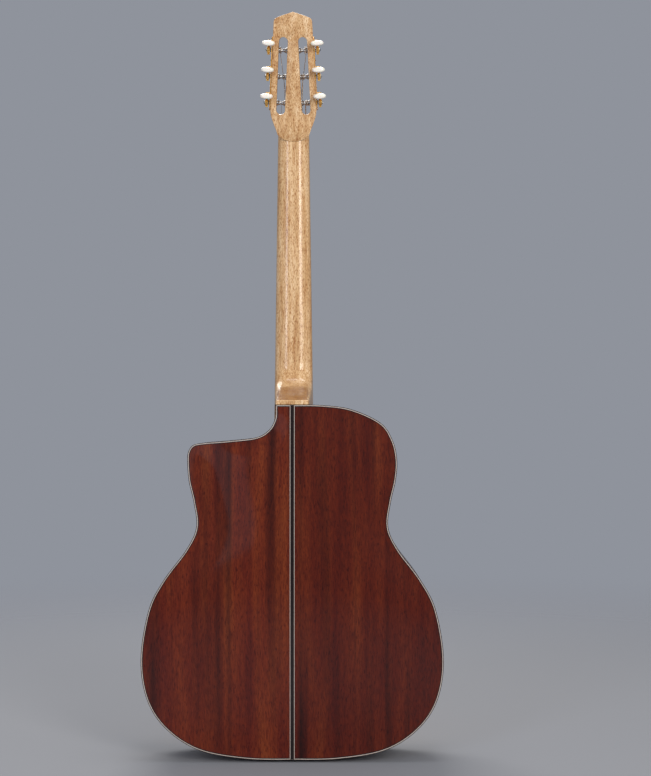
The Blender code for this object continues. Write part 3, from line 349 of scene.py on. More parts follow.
smoothLooks = {
    # black fibre binding, scraped flush and lacquered: dark brown-black, glossy
    "blackFibre": {
        "finish": {"Coat Weight": 1.0, "Coat Roughness": 0.05, "Coat IOR": 1.45, "Specular IOR Level": 0.1},
        "mottle": 0.006, "marks": 0.0012, "relief": 0.05, "roughness": (0.3, 0.45),
        "tones": [(0.3, "#120B0A"), (0.7, "#1E1312")],
    },
    # maple purfling line under lacquer: off-white with a warm cast
    "whiteMapleLine": {
        "finish": {"Coat Weight": 1.0, "Coat Roughness": 0.08},
        "mottle": 0.003, "marks": 0.0009, "relief": 0.08, "roughness": (0.35, 0.5),
        "tones": [(0.3, "#B5A69E"), (0.7, "#C9BCB4")],
    },
    # bone, filed and buffed: cream with faint pale streaks
    "polishedBone": {
        "finish": {}, "stretch": (1, 1, 0.2),
        "mottle": 0.002, "marks": 0.0006, "relief": 0.1, "roughness": (0.28, 0.42),
        "tones": [(0.3, "#E2D8BF"), (0.7, "#F1EADA")],
    },
    # moulded ivory-coloured plastic buttons with a buffed shine
    "ivoryPlastic": {
        "finish": {"Coat Weight": 0.5, "Coat Roughness": 0.08, "Subsurface Weight": 0.08, "Subsurface Scale": 0.002},
        "mottle": 0.004, "marks": 0.0008, "relief": 0.04, "roughness": (0.22, 0.34),
        "tones": [(0.25, "#F2ECDF"), (0.6, "#F8F5EE"), (0.8, "#FBFAF6")],
    },
    # brass, polished then handled: warm yellow with duller finger marks
    "polishedBrass": {
        "finish": {"Metallic": 1.0},
        "mottle": 0.005, "marks": 0.0014, "relief": 0.06, "roughness": (0.30, 0.48),
        "tones": [(0.2, "#F0C064"), (0.5, "#F8CF7C"), (0.8, "#FCDC98")],
    },
    # brass sheet, brushed along its length and left with a satin look
    "brushedBrass": {
        "finish": {"Metallic": 1.0}, "stretch": (5, 5, 0.4),
        "mottle": 0.008, "marks": 0.005, "relief": 0.10, "roughness": (0.5, 0.6),
        "tones": [(0.2, "#F0B957"), (0.5, "#F6C366"), (0.8, "#FACD78")],
    },
    # turned steel of the worms, screws and rollers: grey with fine turning marks
    "turnedSteel": {
        "finish": {"Metallic": 1.0}, "stretch": (1, 1, 5),
        "mottle": 0.004, "marks": 0.0008, "relief": 0.1, "roughness": (0.22, 0.38),
        "tones": [(0.2, "#9A9B9C"), (0.6, "#B4B5B7"), (0.9, "#C6C7C9")],
    },
    # nickel silver fret wire, crowned and polished
    "nickelSilver": {
        "finish": {"Metallic": 1.0}, "stretch": (0.3, 1, 1),
        "mottle": 0.004, "marks": 0.0007, "relief": 0.06, "roughness": (0.16, 0.3),
        "tones": [(0.2, "#B5B1A6"), (0.7, "#CFCBC0")],
    },
    # silver plated copper wrap wire of the bass strings: pale copper with a wrapped surface
    "wrapWire": {
        "finish": {"Metallic": 1.0}, "winding": 0.0005,
        "mottle": 0.004, "marks": 0.0006, "relief": 0.5, "roughness": (0.28, 0.4),
        "tones": [(0.2, "#CFC5B8"), (0.6, "#E0D9CE"), (0.9, "#EAE5DC")],
    },
    # plain steel string, drawn and tinned
    "drawnSteel": {
        "finish": {"Metallic": 1.0}, "stretch": (1, 1, 0.1),
        "mottle": 0.003, "marks": 0.0005, "relief": 0.04, "roughness": (0.16, 0.28),
        "tones": [(0.2, "#B0B2B5"), (0.8, "#CFD1D3")],
    },
    # mother of pearl dots: pale, with soft green and pink clouds
    "pearlDots": {
        "finish": {"Coat Weight": 0.6, "Coat Roughness": 0.08},
        "mottle": 0.0016, "marks": 0.001, "relief": 0.04, "roughness": (0.2, 0.32),
        "tones": [(0.2, "#C9D2C6"), (0.45, "#E6E1DA"), (0.7, "#E3D3D2"), (0.9, "#F0EEE8")],
    },
    # extruded aluminium bar inside the neck: dull grey with die lines along it
    "extrudedAluminium": {
        "finish": {"Metallic": 1.0}, "stretch": (10, 10, 1),
        "mottle": 0.01, "marks": 0.005, "relief": 0.12, "roughness": (0.34, 0.48),
        "tones": [(0.2, "#A9ABAE"), (0.8, "#C2C4C7")],
    },
}
finish.update({name: smoothFinish(name, look) for name, look in smoothLooks.items()})
print("plastics and metals are mixed:", ", ".join(smoothLooks))


def numbered(*parts):
    return ["%s_%d" % (part, n) for part in parts for n in range(1, 7)]


# a CAD node that keeps its own shape takes the finish of its wood or metal
nodeFinish = {
    "planedSpruce": ["soundboard", "soundhole_brace", "upper_brace", "bridge_brace_frame"],
    "lacqueredSapele": ["back_half_bass", "back_half_treble", "side_bass", "side_treble"],
    "planedLining": ["top_lining", "back_lining", "tail_block", "neck_block"],
    "paleMahogany": ["neck"],
    "oiledEbony": ["head_veneer", "fretboard", "back_centre_strip"],
    "oiledRosewood": ["bridge", "moustache_bass", "moustache_treble", "tailpiece_insert"],
    "blackFibre": ["top_binding", "back_binding"],
    "polishedBone": ["nut"],
    "polishedBrass": ["tailpiece", "plate_bass", "plate_treble"] + numbered("gear"),
    "turnedSteel": numbered("worm", "roller") + ["string_5", "string_6"],
    "wrapWire": ["string_1", "string_2", "string_3", "string_4"],
    "ivoryPlastic": numbered("button"),
    "extrudedAluminium": ["reinforcing_bar"],
}
nodeFinish["planedSpruce"] += ["back_brace_lower", "back_brace_upper", "back_brace_waist"]
for name, nodes in nodeFinish.items():
    for node in nodes:
        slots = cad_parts[node].data.materials
        slots.clear()
        slots.append(finish[name])
print("the carried-over nodes have their finishes")

# the guitar's own frame: Z from the tail edge, Y from the soundboard's rim, as the CAD has it
guitarPlace = Matrix.Translation((0, -0.010, -0.8475489))
gap = 0.0003  # left open between pieces that are made apart
handed = ((-1, "Bass"), (1, "Treble"))


# One piece of one or more shells, each a row of rings of points, capped at its ends unless it runs back into itself
def shellPiece(name, shells, finishName, place=guitarPlace, sharp=35, capped=True):
    points, faces = [], []
    for rings in shells:
        count, first = len(rings[0]), len(points)
        points += [p for ring in rings for p in ring]
        for a in range(first, len(points) - count, count):
            faces += [[a + k, a + (k + 1) % count, a + count + (k + 1) % count, a + count + k] for k in range(count)]
        if capped:
            faces += [list(range(first, first + count)), list(range(len(points) - count, len(points)))]
    return shapePiece(name, points, faces, finishName, place, sharp)


def shapePiece(name, points, faces, finishName, place=guitarPlace, sharp=35):
    data = bpy.data.meshes.new(name)
    data.from_pydata([place @ Vector(p) for p in points], [], faces)
    work = bmesh.new()
    work.from_mesh(data)
    bmesh.ops.remove_doubles(work, verts=work.verts, dist=0.000002)
    bmesh.ops.recalc_face_normals(work, faces=work.faces)
    work.to_mesh(data)
    work.free()
    smoothMesh(data, sharp)
    data.materials.append(finish[finishName])
    return addObject(name, data)


def smoothMesh(data, sharp):
    data.shade_smooth()
    data.set_sharp_from_angle(angle=radians(sharp))


def turnedPiece(name, profile, sides, finishName, place=Matrix(), sharp=40):
    rings = [[(radius * cos(a), radius * sin(a), height) for a in turns(sides)] for radius, height in profile]
    return shellPiece(name, [rings], finishName, place, sharp)


# the ring of a four-sided block at one height
def oblong(x0, x1, y0, y1, z):
    return [(x0, y0, z), (x1, y0, z), (x1, y1, z), (x0, y1, z)]


# live modifiers become plain mesh, so that nothing is left to change the piece later
def settleMesh(piece, sharp):
    shaped = bpy.data.meshes.new_from_object(piece.evaluated_get(bpy.context.evaluated_depsgraph_get()))
    piece.modifiers.clear()
    piece.data = shaped
    shaped.name = piece.name
    smoothMesh(shaped, sharp)


def fitPiece(piece, stands=(), body="guitar"):
    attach(piece, body)
    if stands:
        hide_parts(*stands)


def clearAway(objects):
    for obj in objects:
        bpy.data.objects.remove(obj, do_unlink=True)


def cutWith(piece, cutters, sharp=35):
    for cutter in cutters:
        cut = piece.modifiers.new(cutter.name, "BOOLEAN")
        cut.operation = "DIFFERENCE"
        cut.solver = "EXACT"
        cut.object = cutter
    settleMesh(piece, sharp)


# A Catmull-Rom curve through the knots
def curveThrough(knots, steps):
    found = []
    for i in range(len(knots) - 1):
        a, b, c, d = (Vector(knots[max(0, min(len(knots) - 1, i + k))]) for k in (-1, 0, 1, 2))
        for step in range(steps):
            t = step / steps
            bow = 2 * b + (c - a) * t + (2 * a - 5 * b + 4 * c - d) * t**2
            found.append(0.5 * (bow + (3 * b - a - 3 * c + d) * t**3))
    return found + [Vector(knots[-1])]


# a power that keeps its sign, for sections between a circle and a square
def bent(value, power):
    return copysign(abs(value) ** power, value)


def clamped(value):
    return min(1.0, max(0.0, value))


# A block through rings of an outline: each level is (y, how far the outline grows)
def levelledBlock(name, outline, levels, finishName, place=guitarPlace):
    ways = [(outline[(i + 1) % len(outline)] - outline[i - 1]).normalized() for i in range(len(outline))]
    rings = []
    for y, grow in levels:
        grown = [p + Vector((way.y, -way.x)) * grow for p, way in zip(outline, ways)]
        rings.append([(p.x, y, p.y) for p in grown])
    return shellPiece(name, [rings], finishName, place)


# sound box: the outline is half a lower bout, waist and upper bout, and the treble side has the cutaway
box = {
    "length": 0.470,
    "depth": 0.098,
    "lower": 0.2005,
    "upper": 0.1388,
    "waist": 0.127,
    "heelX": 0.022,  # where the cutaway meets the heel
    "topDome": 0.006,
    "backDome": 0.005,
    "plate": 0.0026,
    "side": 0.0026,
    "binding": 0.0009,
    "bindingTall": 0.0055,
    "bindingRound": 0.0004,
    "whiteLine": 0.0009,
    "darkLine": 0.0011,
    "lineDeep": 0.0016,
    "fit": 0.0001,  # left open beside the bindings
    "stripHalf": 0.0031,
    "stripDarkHalf": 0.00245,
    "stripLift": 0.00003,
    "stripSteps": 160,
    "rimFall": 0.040,
    "outlineSteps": 150,
    "plateColumns": 22,
}
lower, upper, waist, heelX, boxLong = box["lower"], box["upper"], box["waist"], box["heelX"], box["length"]
bassKnots = [
    (0.0, 0.0), (0.060, 0.0012), (lower * 0.61, 0.0125), (lower * 0.828, 0.040), (lower * 0.958, 0.079),
    (lower, 0.1335), (lower * 0.948, 0.198), (lower * 0.848, 0.238), (lower * 0.700, 0.278), (waist, 0.308),
    (waist + 0.0035, 0.341), (upper - 0.0018, 0.370), (upper, 0.397), (upper - 0.006, 0.423), (upper - 0.022, 0.446),
    (upper - 0.061, 0.464), (upper - 0.100, boxLong - 0.0005), (0.0, boxLong),
]
trebleKnots = bassKnots[:13] + [
    (upper - 0.0015, 0.4085), (upper - 0.0075, 0.4165), (upper - 0.020, 0.4195), (upper - 0.056, 0.4225),
    (0.047, 0.4270), (0.0305, 0.4370), (heelX + 0.0012, 0.4500), (heelX, boxLong - 0.011),
]


# The knots' curve with its points closer where it turns
def smoothPath(knots, count):
    fine = curveThrough(knots, 40)
    lengths = [0.0]
    for i, (a, b) in enumerate(zip(fine, fine[1:])):
        lengths.append(lengths[-1] + (b - a).length + 0.02 * (a - fine[max(i - 1, 0)]).angle(b - a, 0.0))
    path, at = [], 0
    for i in range(count):
        want = lengths[-1] * i / (count - 1)
        while at < len(fine) - 2 and lengths[at + 1] < want:
            at += 1
        span = max(lengths[at + 1] - lengths[at], 1e-9)
        path.append(fine[at].lerp(fine[at + 1], (want - lengths[at]) / span))
    return path


# each place of the outline with its way into the box
def outlineHalf(side, knots, count, lastAhead):
    path = smoothPath(knots, count)
    ways = [path[min(i + 1, count - 1)] - path[i - 1] for i in range(1, count - 1)]
    places = []
    for point, ahead in zip(path, [Vector((1, 0))] + ways + [Vector(lastAhead)]):
        normal = Vector((-ahead.y, ahead.x)).normalized()
        places.append((Vector((side * point.x, point.y)), Vector((side * normal.x, normal.y))))
    return places


treblePath = outlineHalf(1, trebleKnots, box["outlineSteps"], (0, 1))
bassPath = outlineHalf(-1, bassKnots, box["outlineSteps"] + 10, (-1, 0))
heelCorner = (Vector((heelX, boxLong)), Vector((-1, -1)))
rimPath = treblePath + [heelCorner] + bassPath[:0:-1]
rimPoints = [place for place, normal in rimPath]
widthRows = sorted((p.y, -p.x) for p, n in bassPath)


def rimDistance(x, z):
    here = Vector((x, z))
    nearest = min(range(len(rimPoints)), key=lambda i: (rimPoints[i] - here).length_squared)
    found = 1.0
    for step in (-1, 0):
        a, b = rimPoints[nearest + step], rimPoints[(nearest + step + 1) % len(rimPoints)]
        span = b - a
        t = clamped((here - a).dot(span) / max(span.length_squared, 1e-12))
        found = min(found, (here - a - span * t).length)
    return found


def bassHalfWidth(z):
    for (z0, x0), (z1, x1) in zip(widthRows, widthRows[1:]):
        if z0 <= z <= z1 and z1 > z0:
            return x0 + (x1 - x0) * (z - z0) / (z1 - z0)
    return widthRows[-1][1]


# 0 at the rim and 1 over the middle of the lower bout, easing down inside the rim
def domeShare(x, z):
    across = max(0.0, 1 - (x / max(bassHalfWidth(z), 0.001)) ** 2)
    along = max(0.0, sin(pi * clamped(z / boxLong))) ** 0.6
    fall = 1 - (1 - min(1.0, rimDistance(x, z) / box["rimFall"])) ** 2
    return across * along * fall


def topY(x, z):
    return -box["topDome"] * domeShare(x, z)


def backY(x, z):
    return box["depth"] + box["backDome"] * domeShare(x, z)


# A strip along a path, from a section of (inset, y) points, with y counted from the skin where one is given
def rimStrip(name, section, finishName, path=rimPath, closed=True, skin=lambda x, z: 0):
    rings = []
    for point, normal in path:
        places = [(point + normal * inset, y) for inset, y in section]
        rings.append([(p.x, skin(p.x, p.y) + y, p.y) for p, y in places])
    return shellPiece(name, [rings + rings[:1] if closed else rings], finishName, capped=not closed)


# a line let into a skin, between two insets and two heights
def inlaidLine(name, inset, heights, skin, finishName, path=rimPath):
    (start, end), (front, rear) = inset, heights
    section = [(start, front), (end, front), (end, rear), (start, rear)]
    fitPiece(rimStrip(name, section, finishName, path, skin=skin))


binding, edge, tall = box["binding"], box["bindingRound"], box["bindingTall"]
whiteEnd = binding + box["whiteLine"]
plateStart = whiteEnd + box["darkLine"]
section = [(0, tall), (0, edge), (edge * 0.12, edge * 0.5), (edge * 0.5, edge * 0.12)]
section += [(edge, 0), (binding, 0), (binding, tall)]
for label, skin, inward, rimY in (("top", topY, 1, 0.0), ("back", backY, -1, box["depth"])):
    turned = [(inset, rimY + inward * depth) for inset, depth in section]
    fitPiece(rimStrip(label + "Binding", turned, "blackFibre"), [label + "_binding"])
    heights = (0, inward * box["lineDeep"])
    inlaidLine(label + "WhiteLine", (binding, whiteEnd), heights, skin, "whiteMapleLine")
    inlaidLine(label + "DarkLine", (whiteEnd, plateStart), heights, skin, "blackFibre")

# the sides are one bent shell each, closed at the tail seam and at the heel
low, high = tall + box["fit"], box["depth"] - tall - box["fit"]
innerLow, innerHigh = box["plate"] + gap, box["depth"] - box["plate"] - gap
section = [(0, low), (0, high), (binding, high), (binding, innerHigh)]
section += [(box["side"], innerHigh), (box["side"], innerLow), (binding, innerLow), (binding, low)]
trebleEnd = (Vector((heelX, boxLong - 0.0002)), Vector((-1, -1)))
for side, name, path in ((-1, "bass", bassPath[1:] + [heelCorner]), (1, "treble", treblePath[1:] + [trebleEnd])):
    path = [(Vector((side * 0.00008, 0)), Vector((0, 1)))] + path
    strip = rimStrip(name + "Side", section, "lacqueredSapele", path, closed=False)
    fitPiece(strip, ["side_" + name])


# A domed half plate gridded from its seam out to the rim, as two skins and their edges
def platePiece(name, sides, seam, skin, inward, finishName):
    halves = []
    for side in sides:
        places = treblePath[1:] + [heelCorner] if side > 0 else bassPath[1:-1]
        halves.append([point + normal * plateStart for point, normal in places])
    count = min(len(half) for half in halves)
    halves = [[half[round(i * (len(half) - 1) / (count - 1))] for i in range(count)] for half in halves]
    columns = box["plateColumns"]
    rows = []
    for i in range(count):
        seamZ = plateStart + (boxLong - 2 * plateStart) * i / (count - 1)
        row = []
        for side, ends in zip(sides, halves):
            inside = Vector((side * seam, seamZ))
            half = [inside.lerp(ends[i], (c / columns) ** 0.85) for c in range(columns + 1)]
            row = half if not row else half[:0:-1] + row
        rows.append(row)
    wide = len(rows[0])
    layer = wide * len(rows)
    flat = [(p, skin(p.x, p.y)) for row in rows for p in row]
    points = [(p.x, y + shift, p.y) for shift in (0.0, inward * box["plate"]) for p, y in flat]
    faces = []
    for i in range(len(rows) - 1):
        for a in range(i * wide, i * wide + wide - 1):
            faces.append([a, a + 1, a + 1 + wide, a + wide])
            faces.append([layer + a, layer + a + wide, layer + a + 1 + wide, layer + a + 1])
        for a in (i * wide, i * wide + wide - 1):
            faces.append([a, a + wide, layer + a + wide, layer + a])
    for first in (0, layer - wide):
        faces += [[a, a + 1, layer + a + 1, layer + a] for a in range(first, first + wide - 1)]
    return shapePiece(name, points, faces, finishName)


for side, name in ((-1, "bass"), (1, "treble")):
    half = platePiece(name + "BackHalf", (side,), box["stripHalf"] + 0.00005, backY, -1, "lacqueredSapele")
    fitPiece(half, ["back_half_" + name])

# the centre strip: a black line between two white ones, let into the back along its seam
stripLow, stripHigh = binding + box["fit"], boxLong - binding - box["fit"]
stripRows = [stripLow + (stripHigh - stripLow) * i / box["stripSteps"] for i in range(box["stripSteps"] + 1)]
stripRows = [(z, backY(0, z) + box["stripLift"]) for z in stripRows]
for name, low, high, finishName in (
    ("stripBlack", -box["stripDarkHalf"], box["stripDarkHalf"], "blackFibre"),
    ("stripWhiteBass", -box["stripHalf"], -box["stripDarkHalf"], "whiteMapleLine"),
    ("stripWhiteTreble", box["stripDarkHalf"], box["stripHalf"], "whiteMapleLine"),
):
    strip = shellPiece(name, [[oblong(low, high, y, y - box["plate"], z) for z, y in stripRows]], finishName)
    fitPiece(strip, ["back_centre_strip"] if name == "stripBlack" else ())
print("back, sides, bindings and centre strip are built")

# neck: shaft, heel and the tongue under the fretboard's end
neck = {
    "scale": 0.670,
    "lean": radians(1.75),
    "rise": 0.0115,
    "board": 0.006,
    "nutWide": 0.043,
    "jointWide": 0.0535,
    "endWide": 0.0575,
    "end": -0.104,
    "depthAtNut": 0.0215,
    "depthAtHeel": 0.0235,
    "heelEndWide": 0.046,
    "heelFlat": 1.03,
    "heelReach": 0.050,
    "nutLong": 0.0042,
    "headOverlap": 0.008,
    "tongueTip": 0.012,
    "tongueSteps": 12,
    "around": 44,
    "shaftSteps": 30,
}
scaleLong = neck["scale"] / cos(neck["lean"])
neckLong = neck["scale"] * (1 - 0.5 ** (14 / 12)) / cos(neck["lean"])
neckEnd = neckLong + neck["nutLong"]
neckPlace = guitarPlace @ Matrix.Translation((0, -neck["rise"], boxLong)) @ Matrix.Rotation(-neck["lean"], 4, "X")
neckTop = neck["board"] + gap
nutHalf = neck["nutWide"] / 2
heelDepth = (box["depth"] + neck["rise"]) / cos(neck["lean"])


def neckHalf(along):
    wide, reach = (neck["nutWide"], neckLong) if along >= 0 else (neck["endWide"], neck["end"])
    return (neck["jointWide"] + (wide - neck["jointWide"]) * along / reach) / 2


# distance along the neck, depth behind the fretboard's face, squareness of the section
heelKnots = [
    (0.0079, heelDepth - 0.0065, 9.0), (0.0122, 0.090, 8.0), (0.0170, 0.071, 6.5), (0.0227, 0.0525, 5.0),
    (0.0293, 0.0385, 3.8), (0.0376, 0.0292, 2.8), (neck["heelReach"], neck["depthAtHeel"], 2.3),
]
neckStations = [(0.0, heelDepth, 14.0), (0.0053, heelDepth, 13.0), (0.0059, heelDepth - 0.0005, 12.0)]
neckStations += [(0.0066, heelDepth - 0.0022, 10.0)] + curveThrough(heelKnots, 7)[:-1]
for i in range(neck["shaftSteps"] + 1):
    share = i / neck["shaftSteps"]
    depth = neck["depthAtHeel"] + (neck["depthAtNut"] - neck["depthAtHeel"]) * share
    neckStations.append((neck["heelReach"] + (neckEnd - neck["heelReach"]) * share, depth, 2.2))
neckStations.append((neckEnd + neck["headOverlap"], neck["depthAtNut"], 2.2))
rings = []
for along, depth, square in neckStations:
    half = neckHalf(min(along, neckLong))
    taper = clamped((depth - neck["depthAtHeel"]) / (heelDepth - neck["depthAtHeel"]))
    taper *= max(0.0, 1 - neck["heelEndWide"] / (2 * half))
    lean = max(0.0, 1 - along / neck["heelReach"])
    top = neckTop + 0.6 * max(0.0, along - neckEnd)
    ring = []
    for k in range(neck["around"] + 1):
        turn = pi * k / neck["around"]
        down = min(1.0, neck["heelFlat"] * sin(turn) ** (2 / square)) if 0 < k < neck["around"] else 0.0
        x, y = half * bent(cos(turn), 2 / square) * (1 - taper * down), top + (depth - top) * down
        ring.append((x, y, along + (gap + y * tan(neck["lean"])) * lean))
    rings.append(ring)
fitPiece(shellPiece("neckShaft", [rings], "paleMahogany", neckPlace, 40), ["neck"])

rings = []
tongueStart = neck["end"] + 0.002
for i in range(neck["tongueSteps"] + 1):
    along = tongueStart + (neck["tongueTip"] - tongueStart) * i / neck["tongueSteps"]
    half = neckHalf(min(along, 0.0)) - 0.0005
    z = boxLong + along * cos(neck["lean"])
    dome = -box["topDome"] * sin(pi * min(1.0, z / boxLong)) ** 0.6
    floor = dome + neck["rise"] - along * sin(neck["lean"]) + 0.0006
    rings.append(oblong(-half, half, neckTop, max(floor, neckTop + 0.0004), along))
fitPiece(shellPiece("neckTongue", [rings], "paleMahogany", neckPlace))

# head: a leaning block with a chin, two slots and its front veneer
head = {
    "tilt": radians(13.25),
    "place": (0.0037, 0.0048),  # behind the fretboard's face and past the neck's end
    "long": 0.163,
    "front": 0.0028,
    "rear": 0.0178,
    "chin": -0.0090,
    "chinRise": 0.0036,
    "rootY": 0.0072,  # the block thins to this where the neck's shaft runs into it
    "widest": 0.0315,
    "widestAt": 0.036,
    "tip": 0.0260,
    "cornerAt": 0.150,
    "slotWide": 0.012,
    "slotLow": 0.027,
    "slotHigh": 0.130,
    "slotFromEdge": 0.0142,
    "rampHalf": 0.0055,
    "round": 0.0009,
}
widest, tip, cornerAt, headLong, rear, r = (head[key] for key in ("widest", "tip", "cornerAt", "long", "rear", "round"))
headShift = Matrix.Translation((0, head["place"][0], neckLong + head["place"][1]))
headPlace = neckPlace @ headShift @ Matrix.Rotation(-head["tilt"], 4, "X")
edgeSlope = (widest - tip) / (cornerAt - head["widestAt"])
edgeAngle = atan2(widest - tip, cornerAt - head["widestAt"])


def edgeHalf(v):
    return widest - edgeSlope * (v - head["widestAt"])


# an outline from its right half and the tip of the head
def bothHalves(half):
    return half + [Vector((0.0, headLong))] + [Vector((-p.x, p.y)) for p in reversed(half)]


shoulderKnots = [(nutHalf + gap, 0.0), (nutHalf + 0.0030, 0.0080), (nutHalf + 0.0062, 0.0160)]
shoulderKnots += [(widest - 0.0010, 0.0245), (widest, 0.0310), (widest, head["widestAt"])]
cornerKnots = [(tip, cornerAt), (tip - 0.0010, cornerAt + 0.0032), (tip - 0.0036, cornerAt + 0.0054)]
tipPoints = [Vector((x, headLong - down)) for x, down in ((0.0125, 0.0040), (0.0050, 0.0016), (0.0006, 0.0002))]
edgePoints = [Vector((edgeHalf(v), v)) for v in (0.060, 0.090, 0.120)]
upperHalf = curveThrough(shoulderKnots, 5) + edgePoints + curveThrough(cornerKnots, 5) + tipPoints
chinKnots = [(0.0, head["chin"]), (0.0095, -0.0078), (nutHalf - 0.0045, -0.0042), (nutHalf + gap, 0.0)]
headOutline = [Vector((0.0, head["chin"]))] + bothHalves(curveThrough(chinKnots, 6)[1:-1] + upperHalf)


def slotOutline(side):
    turn = Matrix.Rotation(side * edgeAngle, 2)
    half = head["slotWide"] / 2
    reach = (head["slotHigh"] - head["slotLow"]) / 2 - half
    middle = (head["slotHigh"] + head["slotLow"]) / 2
    centre = Vector((side * (edgeHalf(middle) - head["slotFromEdge"] / cos(edgeAngle)), middle))
    found = []
    for end in (1, -1):
        for a in (pi * k / 20 for k in range(21)):
            found.append(turn @ Vector((half * cos(a) * end, end * reach + half * sin(a) * end)) + centre)
    return found


levels = [(head["front"], 0), (rear - r, 0), (rear - 0.5 * r, -0.13 * r), (rear - 0.13 * r, -0.5 * r), (rear, -r)]
headBlock = levelledBlock("headBlock", headOutline, levels, "paleMahogany", Matrix())
# the back face rises toward the chin, and the block thins where the neck's shaft runs into it
work = bmesh.new()
work.from_mesh(headBlock.data)
for step in range(12):
    everything = work.verts[:] + work.edges[:] + work.faces[:]
    bmesh.ops.bisect_plane(work, geom=everything, plane_co=(0, 0, -0.006 + 0.0035 * step), plane_no=(0, 0, 1))
for vert in work.verts:
    if vert.co.y > rear - 2 * r:
        share = clamped((0.030 - vert.co.z) / 0.028)
        vert.co.y += head["chinRise"] * share * share * (3 - 2 * share)
    elif vert.co.z < 0.0:
        vert.co.y = head["rootY"]
bmesh.ops.recalc_face_normals(work, faces=work.faces)
work.to_mesh(headBlock.data)
work.free()
headBlock.data.transform(headPlace)

veneerOutline = bothHalves([Vector((p.x, max(p.y, gap))) for p in upperHalf])
levels = [(0.0, -0.0005), (0.00015, -0.00015), (0.0005, 0), (head["front"] - gap, 0)]
headVeneer = levelledBlock("headVeneer", veneerOutline, levels, "oiledEbony", headPlace)
cutters = []
levels = [(-0.01, 0.0), (rear - 0.0008, 0.0), (rear - 0.0003, 0.00015), (rear, 0.0006), (rear + 0.01, 0.0075)]
for side, label in handed:
    cutters.append(levelledBlock("slotShape" + label, slotOutline(side), levels, "paleMahogany", headPlace))
    # a ramp lets the strings down into the slot
    rampX = side * (edgeHalf(0.020) - head["slotFromEdge"])
    ramp = ((-0.001, 0.011), (-0.001, 0.034), (0.0087, 0.034))
    ramp = [[(rampX + s * head["rampHalf"], y, z) for y, z in ramp] for s in (-1, 1)]
    cutters.append(shellPiece("rampShape" + label, [ramp], "paleMahogany", headPlace))
cutWith(headBlock, cutters, 38)
cutWith(headVeneer, cutters, 38)
clearAway(cutters)
fitPiece(headBlock)
fitPiece(headVeneer, ["head_veneer"])
print("neck, heel and head are shaped")


# what repeats is grown by geometry nodes and then made plain mesh
def newTree(name, inputs):
    tree = bpy.data.node_groups.new(name, "GeometryNodeTree")
    tree.interface.new_socket("Geometry", in_out="OUTPUT", socket_type="NodeSocketGeometry")
    for label, kind in {"Geometry": "Geometry", **inputs}.items():
        tree.interface.new_socket(label, in_out="INPUT", socket_type="NodeSocket" + kind)
    return tree, addNode(tree, "NodeGroupInput").outputs


# the end of both trees: a shape on every point, made real and given its finish
def endTree(tree, given, points, shape, rotation, scale):
    links = {"Points": points, "Instance": shape, "Scale": scale}
    if rotation:
        links["Rotation"] = rotation
    laid = addNode(tree, "GeometryNodeInstanceOnPoints", {}, links)
    real = addNode(tree, "GeometryNodeRealizeInstances", {}, {"Geometry": laid.outputs[0]})
    dressed = addNode(tree, "GeometryNodeSetMaterial", {}, {"Geometry": real.outputs[0], "Material": given["Finish"]})
    addNode(tree, "NodeGroupOutput", {}, {0: dressed.outputs[0]})


def growPiece(name, tree, values, place, points=(), facing=(0, 0, 1), sharp=35):
    data = bpy.data.meshes.new(name)
    data.from_pydata([tuple(p) for p in points], [], [])
    if points:
        layer = data.attributes.new("facing", "FLOAT_VECTOR", "POINT")
        layer.data.foreach_set("vector", [*facing] * len(points))
    piece = addObject(name, data)
    grown = piece.modifiers.new("grown", "NODES")
    grown.node_group = tree
    sockets = {item.name: item.identifier for item in tree.interface.items_tree if item.in_out == "INPUT"}
    for label, value in values.items():
        grown[sockets[label]] = value
    settleMesh(piece, sharp)
    piece.data.transform(place)
    return piece


# one shape on every point, its Z along the point's facing, with a seeded turn about it
inputs = {"Shape": "Object", "Size": "Float", "Turn": "Float", "Seed": "Int", "Finish": "Material"}
rowTree, given = newTree("shapeOnPoints", inputs)
shape = addNode(rowTree, "GeometryNodeObjectInfo", {}, {"Object": given["Shape"]})
facing = addNode(rowTree, "GeometryNodeInputNamedAttribute", {"Name": "facing"}, data_type="FLOAT_VECTOR")
aligned = addNode(rowTree, "FunctionNodeAlignRotationToVector", {}, {"Vector": facing.outputs["Attribute"]}, axis="Z")
turned = addNode(rowTree, "FunctionNodeRandomValue", {}, {"Max": given["Turn"], "Seed": given["Seed"]})
spin = addNode(rowTree, "ShaderNodeCombineXYZ", {}, {"Z": turned.outputs[1]})
spin = addNode(rowTree, "FunctionNodeEulerToRotation", {}, {"Euler": spin.outputs[0]})
links = {"Rotation": aligned.outputs[0], "Rotate By": spin.outputs[0]}
rotation = addNode(rowTree, "FunctionNodeRotateRotation", {}, links, rotation_space="LOCAL").outputs[0]
endTree(rowTree, given, given["Geometry"], shape.outputs["Geometry"], rotation, given["Size"])

# fret wires by the rule of the scale: each stands at scale x (1 - 2^(-n/12)) from the nut
measures = {label: "Float" for label in ("Scale length", "Neck length", "Nut half", "Spread")}
fretTree, given = newTree("fretRow", {"Frets": "Int", **measures, "Wire": "Object", "Finish": "Material"})
line = addNode(fretTree, "GeometryNodeMeshLine", {"Offset": (0, 0, 0)}, {"Count": given["Frets"]})
share = addNode(fretTree, "GeometryNodeInputIndex").outputs[0]
rule = (("ADD", {1: 1.0}, 0), ("DIVIDE", {1: -12.0}, 0), ("POWER", {0: 2.0}, 1), ("SUBTRACT", {0: 1.0}, 1))
for operation, values, socket in rule:
    share = mathNode(fretTree, operation, values, {socket: share})
down = mathNode(fretTree, "MULTIPLY", {}, {0: share, 1: given["Scale length"]})
high = mathNode(fretTree, "SUBTRACT", {}, {0: given["Neck length"], 1: down})
half = mathNode(fretTree, "MULTIPLY_ADD", {}, {0: down, 1: given["Spread"], 2: given["Nut half"]})
